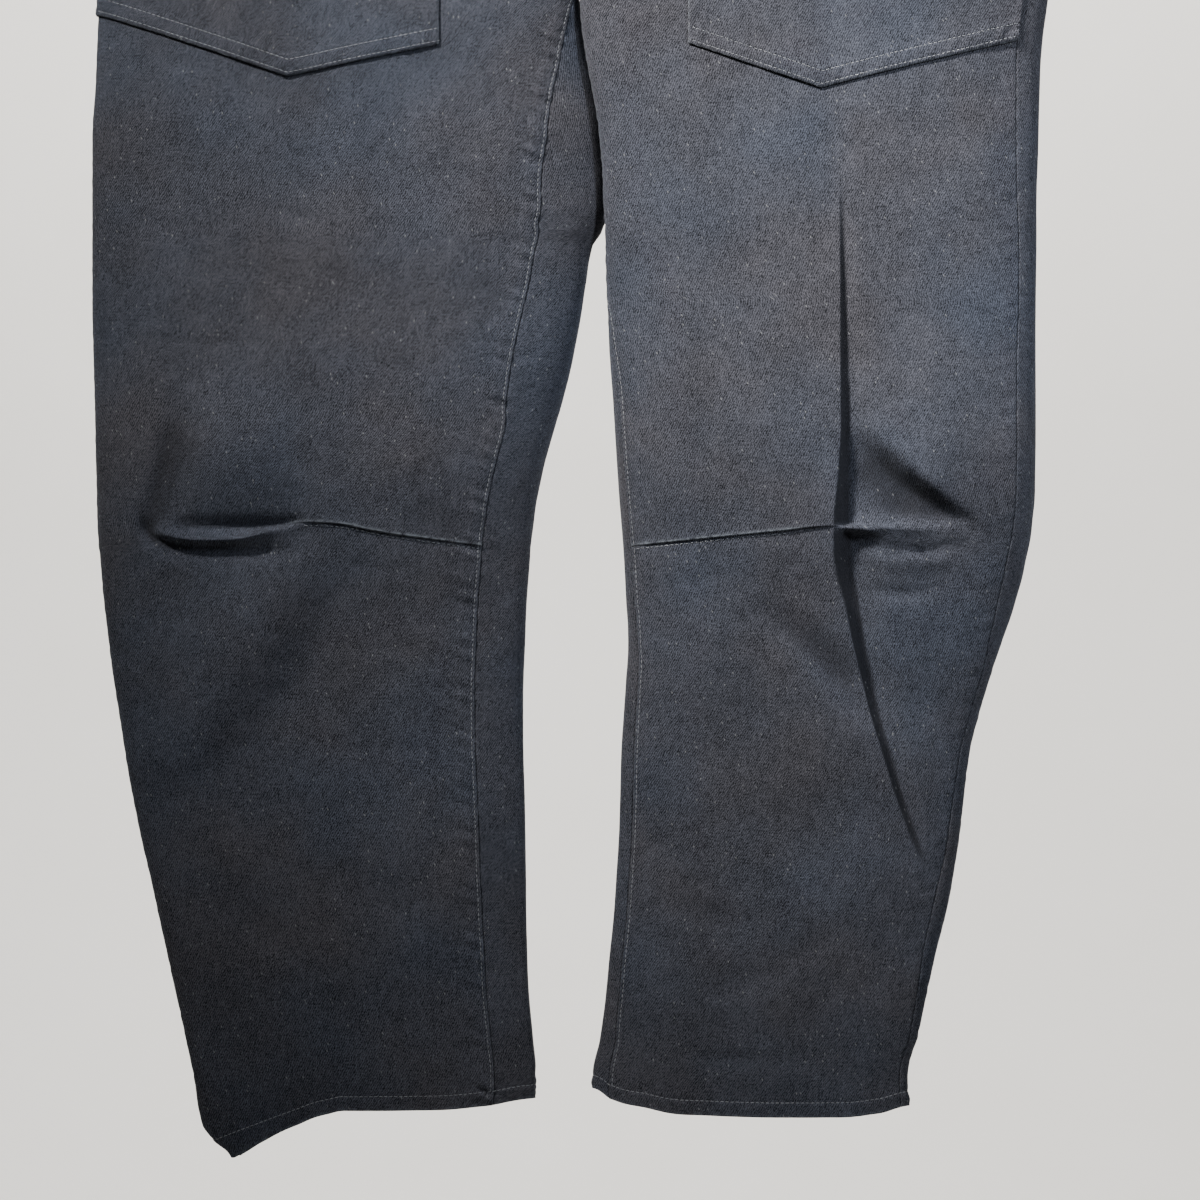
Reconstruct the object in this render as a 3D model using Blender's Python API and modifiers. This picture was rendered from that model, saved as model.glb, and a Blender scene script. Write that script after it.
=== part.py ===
"""Barrel leg trousers hanging from a plain clip hanger.

The origin is the inside top of the hanger's hook, +Z is up and the front of
the trousers faces -Y. The wearer's right leg is on the -X side. Lengths in the
tables are millimetres. "drop" is measured down from the crotch, and "own" is
measured outwards from the centre line, towards the leg's own side.
"""
import math

import bmesh
import bpy
import numpy as np
from mathutils import Matrix, Vector

MM = 0.001
COLLECTION = "barrel_leg_trousers"
CUTTERS = "cutters"

# Overall sizes
CROTCH_Z = -0.380
CLOTH = 1.2 * MM
BAND_CLOTH = 2.2 * MM
SEAM_GAP = 0.3 * MM
WAIST_TOP = -265.0
WAIST_SEAM = -225.0
HEM_DROP = 677.0
HEM_BLEND_FROM = 560.0
EDGE_POWER = 2.3

# Outline of each leg: drop, own distance of the outer and the inner fold
OUTLINE_COLUMNS = ("drop", "outer", "inner")
OUTLINE = {
    "right": (
        (-265, 203, 0), (-225, 208, 0), (-180, 234, 0), (-120, 264, 0), (-60, 281, 0),
        (0, 288, 0), (12, 289, -1.6), (35, 290, -4.6), (60, 291, -10), (100, 293, -16),
        (131, 293, -18), (147, 293, -15), (157, 293, -9), (180, 293, -5), (215, 292.5, 1),
        (250, 291.5, 9), (276, 291, 16.5), (300, 290.4, 22.4), (324, 289.8, 26.5),
        (348, 288, 29), (396, 283, 31.8), (444, 276, 33), (492, 268, 32), (540, 257.5, 31.2),
        (588, 247, 30.4), (636, 236.5, 27), (660, 231.5, 25.2), (684, 227.5, 26.4),
        (697, 219.5, 26.4), (709, 209, 26.4),
    ),
    "left": (
        (-265, 203, 0), (-225, 208, 0), (-180, 234, 0), (-120, 263, 0), (-60, 279, 0),
        (0, 284, 0), (12, 283, 1.2), (35, 280, 3.6), (60, 278.5, 8), (100, 277.5, 13.8),
        (131, 276.6, 15.6), (155, 276.5, 16.8), (203, 276, 18), (251, 276, 21),
        (299, 275.6, 24), (323, 274, 25.8), (347, 270, 27.6), (371, 264, 28.8),
        (395, 256, 30), (419, 248, 28.8), (443, 241, 27.2), (467, 235.5, 25.8),
        (491, 232.6, 25.2), (539, 226, 22.8), (587, 215, 18.6), (635, 204.6, 13.2),
        (660, 199, 8.6), (684, 200, 8.4), (709, 200, 8.4),
    ),
}

# Seams of each leg: how far each lies in from its fold on the front (minus: behind the fold)
SEAM_COLUMNS = ("drop", "inseam", "outseam")
SEAMS = {
    "right": (
        (-265, 0, -5), (0, 0, -5), (12, 5, -5), (47, 18, -5), (68, 27, -5), (94, 34, -5),
        (131, 40, -5), (140, 40, -5), (147, 38.6, -5), (157, 33.6, -5), (180, 34, -5),
        (214, 36, -5), (251, 33.5, -5), (273, 29, -5),
        (360, 29, -5), (530, 27.4, -5), (605, 25.3, -5), (709, 25, -5),
    ),
    "left": (
        (-265, 0, 15), (0, 0, 17), (12, -3, 17), (60, -5, 15.5), (100, -5, 14.5),
        (155, -3, 12), (185, -0.5, 11.5), (217, 2.4, 12.5), (250, 4.2, 13), (342, 5, 13),
        (393, 5.7, 9.6), (415, 7, 6.5), (525, 7.8, 8), (555, 7.8, 9.6), (620, 8.2, 6),
        (656, 10, 5.5), (709, 10, 5.5),
    ),
}

# Depth of both legs: drop, front and back from the middle plane, and how far the section is
# open across the centre line (0 is a closed leg, 1 is the flat hip)
DEPTH_COLUMNS = ("drop", "front", "back", "open")
DEPTH = (
    (-265, 10, 10, 1), (-225, 10.5, 10.5, 1), (-170, 17, 20, 1), (-105, 22, 27, 1),
    (-50, 26, 29, 0.62), (-18, 27, 28, 0.3), (0, 27, 27, 0), (100, 28, 25, 0), (200, 30, 22, 0),
    (290, 34, 18, 0), (340, 30, 16, 0), (400, 25, 17, 0), (480, 21, 18, 0), (570, 18, 17, 0),
    (677, 14, 13, 0), (709, 12, 12, 0),
)

# The left leg's inner fold passes in front of the right leg's below the crotch
CROSSING_COLUMNS = ("drop", "apart")
CROSSING = (
    (-40, 0), (0, 0), (6, 3), (12, 4.6), (35, 5.6), (60, 6.6), (140, 6.6), (165, 4), (230, 0),
    (709, 0),
)
CROSSING_REACH = 60.0
FRONT_LEG = "left"

# Lower edge of each hem: share of the leg's width from the inner fold, and drop
HEM_COLUMNS = ("share", "drop")
HEM = {
    "right": ((0, 671), (0.15, 675), (0.35, 677.5), (0.55, 677.5), (0.66, 683), (0.82, 695),
              (1, 707)),
    "left": ((0, 665), (0.06, 671), (0.16, 675.5), (0.32, 680), (0.74, 681.5), (0.9, 679.5),
             (1, 675.5)),
}

# Folds of the fronts. A fold that runs down is listed by drop and own, one that runs across by
# own and drop. Height is out of the cloth, and the two reaches are its widths before and after
FOLD_COLUMNS = ("along", "across", "height", "before", "after")
FOLDS = {
    "right": (
        ("across", ((50, 337, 0, 9, 7), (62, 336, 3.0, 10, 6), (162, 321, 3.2, 12, 6),
                    (215, 329, 4.5, 14, 7), (252, 326, 0, 12, 7))),
        ("across", ((60, 345, 0, 5, 14), (150, 338, -2.4, 6, 18), (196, 342, -7.5, 8, 24),
                    (232, 338, -9.0, 8, 22), (262, 330, -3, 6, 14), (272, 328, 0, 6, 12))),
        ("down", ((235, 246, 0, 18, 30), (282, 252, -4.5, 14, 26), (330, 259, -6, 8, 18),
                  (345, 260, 0, 8, 16))),
        ("down", ((345, 176, 0, 22, 20), (375, 190, 5, 30, 26), (430, 222, 5, 34, 24),
                  (480, 246, 0, 30, 18))),
    ),
    "left": (
        ("down", ((120, 156, 0, 8, 14), (191, 160, -3.5, 7, 20), (269, 162, -8, 7, 28),
                  (323, 164, -11, 9, 34), (334, 164, -8, 9, 30), (345, 165, 0, 9, 26))),
        ("down", ((120, 147, 0, 12, 8), (230, 150, 2.5, 18, 8), (323, 150, 4, 24, 9),
                  (345, 150, 0, 24, 9))),
        ("down", ((325, 160, 0, 8, 22), (336, 163, -9, 8, 24), (395, 173, -9.5, 7, 26),
                  (443, 184, -7.5, 6, 24), (497, 199, -4.5, 5, 18), (534, 211, 0, 4, 12))),
        ("across", ((26, 338, 0, 9, 7), (38, 336, 3.0, 10, 6), (120, 325, 3.2, 12, 6),
                    (158, 325, 0, 12, 6))),
        ("across", ((30, 345, 0, 5, 14), (70, 342, -2.4, 6, 18), (150, 335, -2.4, 6, 18),
                    (160, 334, 0, 6, 18))),
        ("across", ((160, 326, 0, 9, 7), (185, 324, 4.5, 14, 8), (235, 325, 3, 14, 8),
                    (250, 326, 0, 12, 7))),
        ("across", ((165, 338, 0, 6, 14), (190, 339, -5, 6, 16), (215, 343, -4, 6, 16),
                    (240, 342, 0, 6, 14))),
    ),
}

# Broad swellings of the fronts: own, drop, height, reach across and reach down
SWELLS = {
    "right": ((200, 285, 6, 52, 52), (110, 270, 3, 60, 70), (130, 420, -5, 55, 60),
              (90, 520, 3, 70, 60)),
    "left": ((105, 285, 4, 60, 60), (212, 300, 5, 40, 34), (110, 385, 6, 60, 34),
             (130, 440, -3, 60, 50)),
}

# Long soft waves of the backs that hang from the clips and gather at the knee bend
BACK_FOLDS = {
    "right": (
        ("down", ((-150, 150, 0, 30, 40), (-20, 160, -7, 26, 46), (120, 150, -6, 26, 44),
                  (240, 140, 0, 24, 40))),
        ("across", ((60, 300, 0, 18, 22), (120, 312, -5, 14, 22), (220, 318, -7, 14, 24),
                    (275, 316, 0, 12, 20))),
        ("across", ((90, 372, 0, 14, 18), (170, 366, -4, 12, 20), (262, 360, 0, 12, 20))),
    ),
    "left": (
        ("down", ((-150, 140, 0, 40, 30), (-10, 150, -6, 46, 26), (150, 165, -7, 44, 26),
                  (270, 160, 0, 40, 24))),
        ("across", ((50, 306, 0, 18, 22), (130, 318, -6, 14, 22), (225, 312, -5, 14, 24),
                    (262, 308, 0, 12, 20))),
        ("across", ((110, 362, 0, 14, 18), (180, 370, -4, 12, 20), (244, 374, 0, 12, 20))),
    ),
}

# Pockets: corners by own and drop. The outer end lies past the outseam, so the edge runs out
POCKETS = {
    "right": {"inner": (83.0, 39.0), "point": (174.0, 58.0), "outer": (300.0, 15.0)},
    "left": {"inner": (66.0, 38.0), "point": (145.0, 65.0), "outer": (300.0, 26.0)},
}
POCKET_MOUTH = ((122.0, -225.0), (262.0, -95.0))
POCKET_MIDDLE = (150.0, -40.0)

# Fly placket: width, its lower end and how far that end slants
FLY_WIDTH = 36.0
FLY_EDGE = 1.2
FLY_END = -110.0
FLY_SLANT = 20.0
FLY_MIDDLE = (10.0, -180.0)

# Rows of points down the panels (drop) and the number of columns across them
ROWS = (-180, -130, -80, -42, -16, -5, 0, 6, 16, 35, 65, 100, 135, 152, 165, 190, 225, 258, 283,
        300, 312, 321, 328, 335, 342, 352, 368, 392, 425, 465, 510, 560, 618)
FRONT_COLUMNS = 20
BACK_COLUMNS = 13
FINE_STEPS = 801

# Line down the left front that the columns beside the long fold follow: drop and own, and how
# many columns lie before it. The offsets of its own columns are measured from that line
FOLD_LINE_COLUMNS = ("drop", "own")
FOLD_LINE = ((-265, 100), (-60, 130), (120, 157), (323, 164), (443, 184), (500, 195), (560, 180),
             (709, 120))
FOLD_LINE_OFFSETS = (-10.0, 0.0, 10.0, 24.0)
COLUMNS_BEFORE_FOLD = 10
BAND_COLUMNS = 56
SEAM_COLUMN = 1.2
WAIST_GAP = 0.5

# Waistband at the front: distances across the centre of the columns of its under end and of
# its over end, which rises over the under end between two of them
UNDER_COLUMNS = (34.0, 31.0, 20.0, 8.0)
OVER_COLUMNS = (70.0, 54.0, 49.0, 45.0, 40.0, 30.0, 16.0, 4.0, -2.0)
LAP_RISE = (54.0, 40.0)
BAND_ROWS = 3

# Clip hanger
CLIP_OWN = 150.0
CLIP_WIDTH = 26 * MM
CLIP_DEPTH = 15.6 * MM
CLIP_TOP = 9 * MM
CLIP_ROUNDING = 1.4 * MM
SLOT_ABOVE_BAND = 8 * MM
JAW_BOTTOM = -238.0
PINCH = 0.62
PINCH_WIDTH = 27.0
PINCH_FADES_AT = -110.0
BAR_Z = -0.092
BAR_RADIUS = 4.5 * MM
BAR_LENGTH = 0.392
BAR_ROUNDING = 1.2 * MM
ROD_SEGMENTS = 24
WIRE_RADIUS = 1.9 * MM
HOOK_RADIUS = 21 * MM
HOOK_START = 205.0
HOOK_END = -35.0
HOOK_POINTS = 22
SHANK = ((18.0, -42.0), (8.0, -54.0), (1.6, -62.0), (0.0, -69.0))

# Button
BUTTON_OWN = 12.0
BUTTON_RADIUS = 8.5 * MM
BUTTON_THICKNESS = 2.6 * MM
BUTTON_ROUNDING = 0.7 * MM
BUTTON_SEGMENTS = 32
BUTTON_HOLE = 1.0 * MM
BUTTON_HOLE_OFFSET = 1.9 * math.sqrt(2) * MM
BUTTON_HOLES = 4
HOLE_SEGMENTS = 10

SIDE = {"right": -1.0, "left": 1.0}
SHARP_ANGLE = math.radians(40)
ROUNDING_STEPS = 2


def column(table, names, name, at):
    """Smooth value of one column of a table, read at the first column's value."""
    rows = np.array(table, dtype=float)
    keys = rows[:, 0]
    values = rows[:, names.index(name)]
    slopes = np.zeros_like(values)
    steps = np.diff(keys)
    rises = np.diff(values) / steps
    same_way = rises[:-1] * rises[1:] > 0
    weights = (steps[1:] + 2 * steps[:-1], 2 * steps[1:] + steps[:-1])
    with np.errstate(divide="ignore", invalid="ignore"):
        mean = (weights[0] + weights[1]) / (weights[0] / rises[:-1] + weights[1] / rises[1:])
    slopes[1:-1] = np.where(same_way, mean, 0.0)
    at = np.clip(np.asarray(at, dtype=float), keys[0], keys[-1])
    cell = np.clip(np.searchsorted(keys, at, side="right") - 1, 0, len(keys) - 2)
    share = (at - keys[cell]) / steps[cell]
    left = values[cell] + slopes[cell] * steps[cell] * share
    right = values[cell + 1] - slopes[cell + 1] * steps[cell] * (1 - share)
    blend = share * share * (3 - 2 * share)
    return left * (1 - blend) + right * blend


def soft_step(value, start, end):
    share = np.clip((value - start) / (end - start), 0.0, 1.0)
    return share * share * (3 - 2 * share)


def fold_height(folds, own, drop):
    """Sum of the folds' heights at points of a front or back."""
    total = np.zeros_like(own)
    for run, rows in folds:
        along, across = (drop, own) if run == "down" else (own, drop)
        inside = (along > rows[0][0]) & (along < rows[-1][0])
        centre = column(rows, FOLD_COLUMNS, "across", along)
        height = column(rows, FOLD_COLUMNS, "height", along)
        before = column(rows, FOLD_COLUMNS, "before", along)
        after = column(rows, FOLD_COLUMNS, "after", along)
        away = across - centre
        reach = np.where(away < 0, before, after)
        share = np.clip(np.abs(away) / reach, 0.0, 1.0)
        total += np.where(inside, height * (0.5 + 0.5 * np.cos(math.pi * share)), 0.0)
    return total


def swell_height(swells, own, drop):
    """Sum of the broad swellings' heights."""
    total = np.zeros_like(own)
    for at_own, at_drop, height, across, down in swells:
        squared = ((own - at_own) / across) ** 2 + ((drop - at_drop) / down) ** 2
        total += height * np.exp(-squared)
    return total


def clip_pinch(own, drop):
    """Share of the depth that the clips take away near the waist."""
    near = np.exp(-((own - CLIP_OWN) / PINCH_WIDTH) ** 4)
    return PINCH * near * (1 - soft_step(drop, WAIST_SEAM, PINCH_FADES_AT))


def section_point(leg, turn, drop, facing):
    """Point of the leg's outside, in metres. turn runs from 0 at the inner fold, over the
    front, to pi at the outer fold, and on over the back. facing is 1 on a front piece."""
    turn = np.asarray(turn, dtype=float)
    drop = np.asarray(drop, dtype=float) + np.zeros_like(turn)
    outer = column(OUTLINE[leg], OUTLINE_COLUMNS, "outer", drop)
    inner = column(OUTLINE[leg], OUTLINE_COLUMNS, "inner", drop)
    half = (outer - inner) / 2
    cosine = np.cos(turn)
    sine = np.sin(turn)
    on_front = np.where(np.abs(sine) < 1e-9, facing > 0, sine > 0)
    own = inner + half * (1 - np.sign(cosine) * np.abs(cosine) ** (2 / EDGE_POWER))
    fullness = np.abs(sine) ** (2 / EDGE_POWER)
    opening = column(DEPTH, DEPTH_COLUMNS, "open", drop)
    inner_half = cosine > 0
    fullness = np.where(inner_half, opening + (1 - opening) * fullness, fullness)
    front = column(DEPTH, DEPTH_COLUMNS, "front", drop)
    back = column(DEPTH, DEPTH_COLUMNS, "back", drop)
    squeeze = 1 - clip_pinch(own, drop)
    relief_front = fold_height(FOLDS[leg], own, drop) + swell_height(SWELLS[leg], own, drop)
    relief_back = fold_height(BACK_FOLDS[leg], own, drop)
    depth = np.where(on_front, front * squeeze + relief_front, back * squeeze + relief_back)
    apart = column(CROSSING, CROSSING_COLUMNS, "apart", drop)
    apart = -apart if leg == FRONT_LEG else apart
    shift = apart * np.clip(1 - (own - inner) / CROSSING_REACH, 0.0, 1.0) ** 2
    y = shift + np.where(on_front, -1.0, 1.0) * depth * fullness
    x = SIDE[leg] * (own + SEAM_GAP / MM / 2)
    z = CROTCH_Z / MM - drop
    return np.stack([x, y, z], axis=-1) * MM


def seam_turn(leg, drop, which):
    """Turn at which the inseam or outseam lies on the section at this drop."""
    outer = column(OUTLINE[leg], OUTLINE_COLUMNS, "outer", drop)
    inner = column(OUTLINE[leg], OUTLINE_COLUMNS, "inner", drop)
    half = (outer - inner) / 2
    offset = float(column(SEAMS[leg], SEAM_COLUMNS, which, drop))
    from_fold = math.acos((1 - abs(offset) / half) ** (EDGE_POWER / 2))
    from_fold = math.copysign(from_fold, offset)
    return from_fold if which == "inseam" else math.pi - from_fold


def turn_at(leg, own, drop):
    """Turn of the point of the front that lies at this own distance."""
    outer = column(OUTLINE[leg], OUTLINE_COLUMNS, "outer", drop)
    inner = column(OUTLINE[leg], OUTLINE_COLUMNS, "inner", drop)
    share = 1 - 2 * (own - inner) / (outer - inner)
    return math.acos(math.copysign(abs(share) ** (EDGE_POWER / 2), share))


def stretched_drop(leg, turn, row_drop):
    """Drop of a point of a row: the lowest rows follow the hem's own line."""
    if row_drop <= HEM_BLEND_FROM:
        return np.full_like(turn, row_drop)
    cosine = np.cos(turn)
    share = 0.5 - 0.5 * np.sign(cosine) * np.abs(cosine) ** (2 / EDGE_POWER)
    hem = column(HEM[leg], HEM_COLUMNS, "drop", share)
    along = (row_drop - HEM_BLEND_FROM) / (HEM_DROP - HEM_BLEND_FROM)
    return HEM_BLEND_FROM + along * (hem - HEM_BLEND_FROM)


def row_points(leg, facing, row_drop, columns):
    """Points across one panel at one row, half a seam gap in from both seams."""
    seam_drop = min(row_drop, HEM_DROP)
    inseam = seam_turn(leg, seam_drop, "inseam")
    outseam = seam_turn(leg, seam_drop, "outseam")
    start, end = (inseam, outseam) if facing > 0 else (outseam, 2 * math.pi + inseam)
    fine = np.linspace(start, end, FINE_STEPS)
    points = section_point(leg, fine, stretched_drop(leg, fine, row_drop), facing)
    steps = np.linalg.norm(np.diff(points, axis=0), axis=1)
    length = np.concatenate([[0.0], np.cumsum(steps)])
    edge = SEAM_GAP / 2
    beside = edge + SEAM_COLUMN * MM
    marks = [edge, beside, length[-1] - beside, length[-1] - edge]
    first, second, before_last, last = np.interp(marks, length, fine)
    middle = np.linspace(second, before_last, columns - 2)
    if leg == FRONT_LEG and facing > 0:
        line = float(column(FOLD_LINE, FOLD_LINE_COLUMNS, "own", row_drop))
        at_fold = [turn_at(leg, line + offset, row_drop) for offset in FOLD_LINE_OFFSETS]
        columns_after = columns - 2 - COLUMNS_BEFORE_FOLD - len(FOLD_LINE_OFFSETS)
        before = np.linspace(second, at_fold[0], COLUMNS_BEFORE_FOLD + 1)[:-1]
        after = np.linspace(at_fold[-1], before_last, columns_after + 1)[1:]
        middle = np.concatenate([before, at_fold, after])
    turns = np.concatenate([[first], middle, [last]])
    return section_point(leg, turns, stretched_drop(leg, turns, row_drop), facing)


def panel_grid(leg, facing):
    """Grid of points of a whole front or back, from the waist seam to the hem."""
    columns = FRONT_COLUMNS if facing > 0 else BACK_COLUMNS
    top = WAIST_SEAM + WAIST_GAP
    drops = (top,) + ROWS + (HEM_DROP,)
    return np.array([row_points(leg, facing, drop, columns) for drop in drops])


def mesh_from_grid(name, grid, flipped):
    """Open mesh of quads through a grid of points."""
    rows, columns = grid.shape[:2]
    faces = []
    for row in range(rows - 1):
        for col in range(columns - 1):
            a = row * columns + col
            face = (a, a + 1, a + columns + 1, a + columns)
            faces.append(face[::-1] if flipped else face)
    mesh = bpy.data.meshes.new(name)
    mesh.from_pydata([tuple(point) for point in grid.reshape(-1, 3)], [], faces)
    mesh.update()
    return mesh


def material(name, colour, roughness, metallic=0.0):
    made = bpy.data.materials.new(name)
    made.use_nodes = True
    shader = made.node_tree.nodes["Principled BSDF"]
    shader.inputs["Base Color"].default_value = (*colour, 1.0)
    shader.inputs["Roughness"].default_value = roughness
    shader.inputs["Metallic"].default_value = metallic
    return made


def place(obj, finish):
    bpy.data.collections[COLLECTION].objects.link(obj)
    obj.data.materials.append(finish)
    return obj


def thicken(obj, thickness, outwards):
    wall = obj.modifiers.new("wall", "SOLIDIFY")
    wall.thickness = thickness
    wall.offset = 1.0 if outwards else -1.0
    wall.use_even_offset = True
    wall.use_quality_normals = True


def round_off(mesh):
    mesh.shade_smooth()
    mesh.set_sharp_from_angle(angle=SHARP_ANGLE)


def panel(name, leg, facing, finish):
    """One front or back as a wall of cloth whose outside is the section's outside."""
    mesh = mesh_from_grid(name, panel_grid(leg, facing), flipped=SIDE[leg] > 0)
    round_off(mesh)
    obj = place(bpy.data.objects.new(name, mesh), finish)
    thicken(obj, CLOTH, outwards=False)
    return obj


def cut_away(bm, start, end, keep, leg):
    """Cuts a front's mesh along a straight edge seen from the front and keeps one side.
    start, end and keep are (own, drop) in millimetres."""
    def seen(point):
        return Vector((SIDE[leg] * point[0] * MM, 0.0, CROTCH_Z - point[1] * MM))
    line = seen(end) - seen(start)
    normal = line.cross(Vector((0.0, 1.0, 0.0))).normalized()
    if normal.dot(seen(keep) - seen(start)) > 0:
        normal = -normal
    geometry = bm.verts[:] + bm.edges[:] + bm.faces[:]
    bmesh.ops.bisect_plane(bm, geom=geometry, plane_co=seen(start), plane_no=normal,
                           clear_outer=True, dist=1e-6)


def patch(name, source, cuts, keep, leg, finish):
    """Patch laid on a front: the front's own points inside straight edges, moved out."""
    bm = bmesh.new()
    bm.from_mesh(source.data)
    bmesh.ops.triangulate(bm, faces=bm.faces[:], quad_method="FIXED")
    for start, end in cuts:
        cut_away(bm, start, end, keep, leg)
    bm.normal_update()
    moved = [(vert, vert.normal.copy()) for vert in bm.verts]
    for vert, normal in moved:
        vert.co += normal * SEAM_GAP
    bmesh.ops.dissolve_degenerate(bm, dist=1e-5, edges=bm.edges[:])
    mesh = bpy.data.meshes.new(name)
    bm.to_mesh(mesh)
    bm.free()
    obj = place(bpy.data.objects.new(name, mesh), finish)
    thicken(obj, CLOTH, outwards=True)
    return obj


def pocket(name, leg, source, finish):
    shape = POCKETS[leg]
    top = (shape["inner"][0], WAIST_SEAM)
    cuts = [
        (top, shape["inner"]),
        (shape["inner"], shape["point"]),
        (shape["point"], shape["outer"]),
        POCKET_MOUTH,
    ]
    return patch(name, source, cuts, POCKET_MIDDLE, leg, finish)


def fly_placket(source, finish):
    cuts = [
        ((FLY_EDGE, WAIST_SEAM), (FLY_EDGE, FLY_END)),
        ((FLY_WIDTH, WAIST_SEAM), (FLY_WIDTH, FLY_END)),
        ((0.0, FLY_END), (FLY_WIDTH, FLY_END - FLY_SLANT)),
    ]
    return patch("fly_placket", source, cuts, FLY_MIDDLE, "left", finish)


def band_turn(own):
    """Turn of a point of the waistband at this distance across the centre front."""
    outer = float(column(OUTLINE["left"], OUTLINE_COLUMNS, "outer", WAIST_SEAM))
    return math.copysign(math.asin((abs(own) / outer) ** (EDGE_POWER / 2)), own)


def band_point(turn, drop):
    """Point of the waistband's outside. turn grows from the centre front round the wearer's
    left side, and the lap lies further out."""
    outer = column(OUTLINE["left"], OUTLINE_COLUMNS, "outer", drop)
    front = column(DEPTH, DEPTH_COLUMNS, "front", drop)
    sine = np.sin(turn)
    cosine = np.cos(turn)
    own = outer * np.abs(sine) ** (2 / EDGE_POWER)
    from_edge = np.clip((outer - own) / (outer / 2), 0.0, 1.0)
    fullness = (1 - (1 - from_edge) ** EDGE_POWER) ** (1 / EDGE_POWER)
    depth = front * fullness * (1 - clip_pinch(own, WAIST_SEAM))
    rise_start, rise_end = (band_turn(own) - 2 * math.pi for own in LAP_RISE)
    lift = (BAND_CLOTH + SEAM_GAP) / MM * soft_step(-turn, -rise_start, -rise_end)
    x = np.sign(sine) * own
    y = -np.sign(cosine) * depth - lift
    z = CROTCH_Z / MM - drop + np.zeros_like(x)
    return np.stack([x, y, z], axis=-1) * MM


def make_waistband(finish):
    """Strip that runs once round the waist and laps over its own under end at the front."""
    under = [band_turn(own) for own in UNDER_COLUMNS]
    over = [band_turn(own) - 2 * math.pi for own in OVER_COLUMNS]
    round_the_waist = np.linspace(under[-1], over[0], BAND_COLUMNS)
    turns = np.concatenate([under[:-1], round_the_waist, over[1:]])
    drops = np.linspace(WAIST_TOP, WAIST_SEAM, BAND_ROWS)
    grid = np.array([band_point(turns, drop) for drop in drops])
    mesh = mesh_from_grid("waistband", grid, flipped=False)
    round_off(mesh)
    obj = place(bpy.data.objects.new("waistband", mesh), finish)
    thicken(obj, BAND_CLOTH, outwards=False)
    return obj


def box_mesh(name, low, high):
    """Box between two corners, with its place in its mesh."""
    size = Vector(high) - Vector(low)
    centre = (Vector(high) + Vector(low)) / 2
    fitted = Matrix.Translation(centre) @ Matrix.Diagonal((*size, 1.0))
    bm = bmesh.new()
    bmesh.ops.create_cube(bm, size=1.0, matrix=fitted)
    mesh = bpy.data.meshes.new(name)
    bm.to_mesh(mesh)
    bm.free()
    return mesh


def rod_mesh(name, radius, length, axis, centre, segments):
    """Cylinder along one axis, with its place in its mesh."""
    turned = Vector((0.0, 0.0, 1.0)).rotation_difference(Vector(axis)).to_matrix().to_4x4()
    bm = bmesh.new()
    bmesh.ops.create_cone(bm, cap_ends=True, segments=segments, radius1=radius, radius2=radius,
                          depth=length, matrix=Matrix.Translation(centre) @ turned)
    mesh = bpy.data.meshes.new(name)
    bm.to_mesh(mesh)
    bm.free()
    return mesh


def cut(obj, name, mesh):
    """Takes the mesh's shape out of the object with an exact Boolean."""
    cutter = bpy.data.objects.new(name, mesh)
    bpy.data.collections[CUTTERS].objects.link(cutter)
    cutter.hide_render = True
    cutter.display_type = "WIRE"
    made = obj.modifiers.new(name, "BOOLEAN")
    made.operation = "DIFFERENCE"
    made.solver = "EXACT"
    made.object = cutter


def bevel(obj, width):
    edge = obj.modifiers.new("rounded_edges", "BEVEL")
    edge.width = width
    edge.segments = ROUNDING_STEPS
    edge.limit_method = "ANGLE"


def make_bar(finish):
    centre = (0, 0, BAR_Z)
    mesh = rod_mesh("hanger_bar", BAR_RADIUS, BAR_LENGTH, (1, 0, 0), centre, ROD_SEGMENTS)
    obj = place(bpy.data.objects.new("hanger_bar", mesh), finish)
    bevel(obj, BAR_ROUNDING)
    round_off(mesh)


def make_clip(leg, finish):
    """Block that the bar runs through, with two jaws that close on the waistband."""
    centre = SIDE[leg] * CLIP_OWN * MM
    half = CLIP_WIDTH / 2
    name = f"hanger_clip_{leg}"
    jaw_z = CROTCH_Z - JAW_BOTTOM * MM
    band_top = CROTCH_Z - WAIST_TOP * MM
    low = (centre - half, -CLIP_DEPTH / 2, jaw_z)
    high = (centre + half, CLIP_DEPTH / 2, BAR_Z + CLIP_TOP)
    obj = place(bpy.data.objects.new(name, box_mesh(name, low, high)), finish)
    bevel(obj, CLIP_ROUNDING)
    near = [CLIP_OWN - half / MM, CLIP_OWN, CLIP_OWN + half / MM]
    turns = np.array([band_turn(own) for own in near])
    reach = max(np.abs(band_point(turns, drop)[:, 1]).max() for drop in (WAIST_TOP, WAIST_SEAM))
    slot = reach + SEAM_GAP
    slot_low = (centre - CLIP_WIDTH, -slot, jaw_z - CLIP_TOP)
    slot_high = (centre + CLIP_WIDTH, slot, band_top + SLOT_ABOVE_BAND)
    cut(obj, f"{name}_slot", box_mesh(f"{name}_slot", slot_low, slot_high))
    hole = rod_mesh(f"{name}_hole", BAR_RADIUS + SEAM_GAP, 2 * CLIP_WIDTH, (1, 0, 0),
                    (centre, 0, BAR_Z), ROD_SEGMENTS)
    cut(obj, f"{name}_hole", hole)


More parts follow.
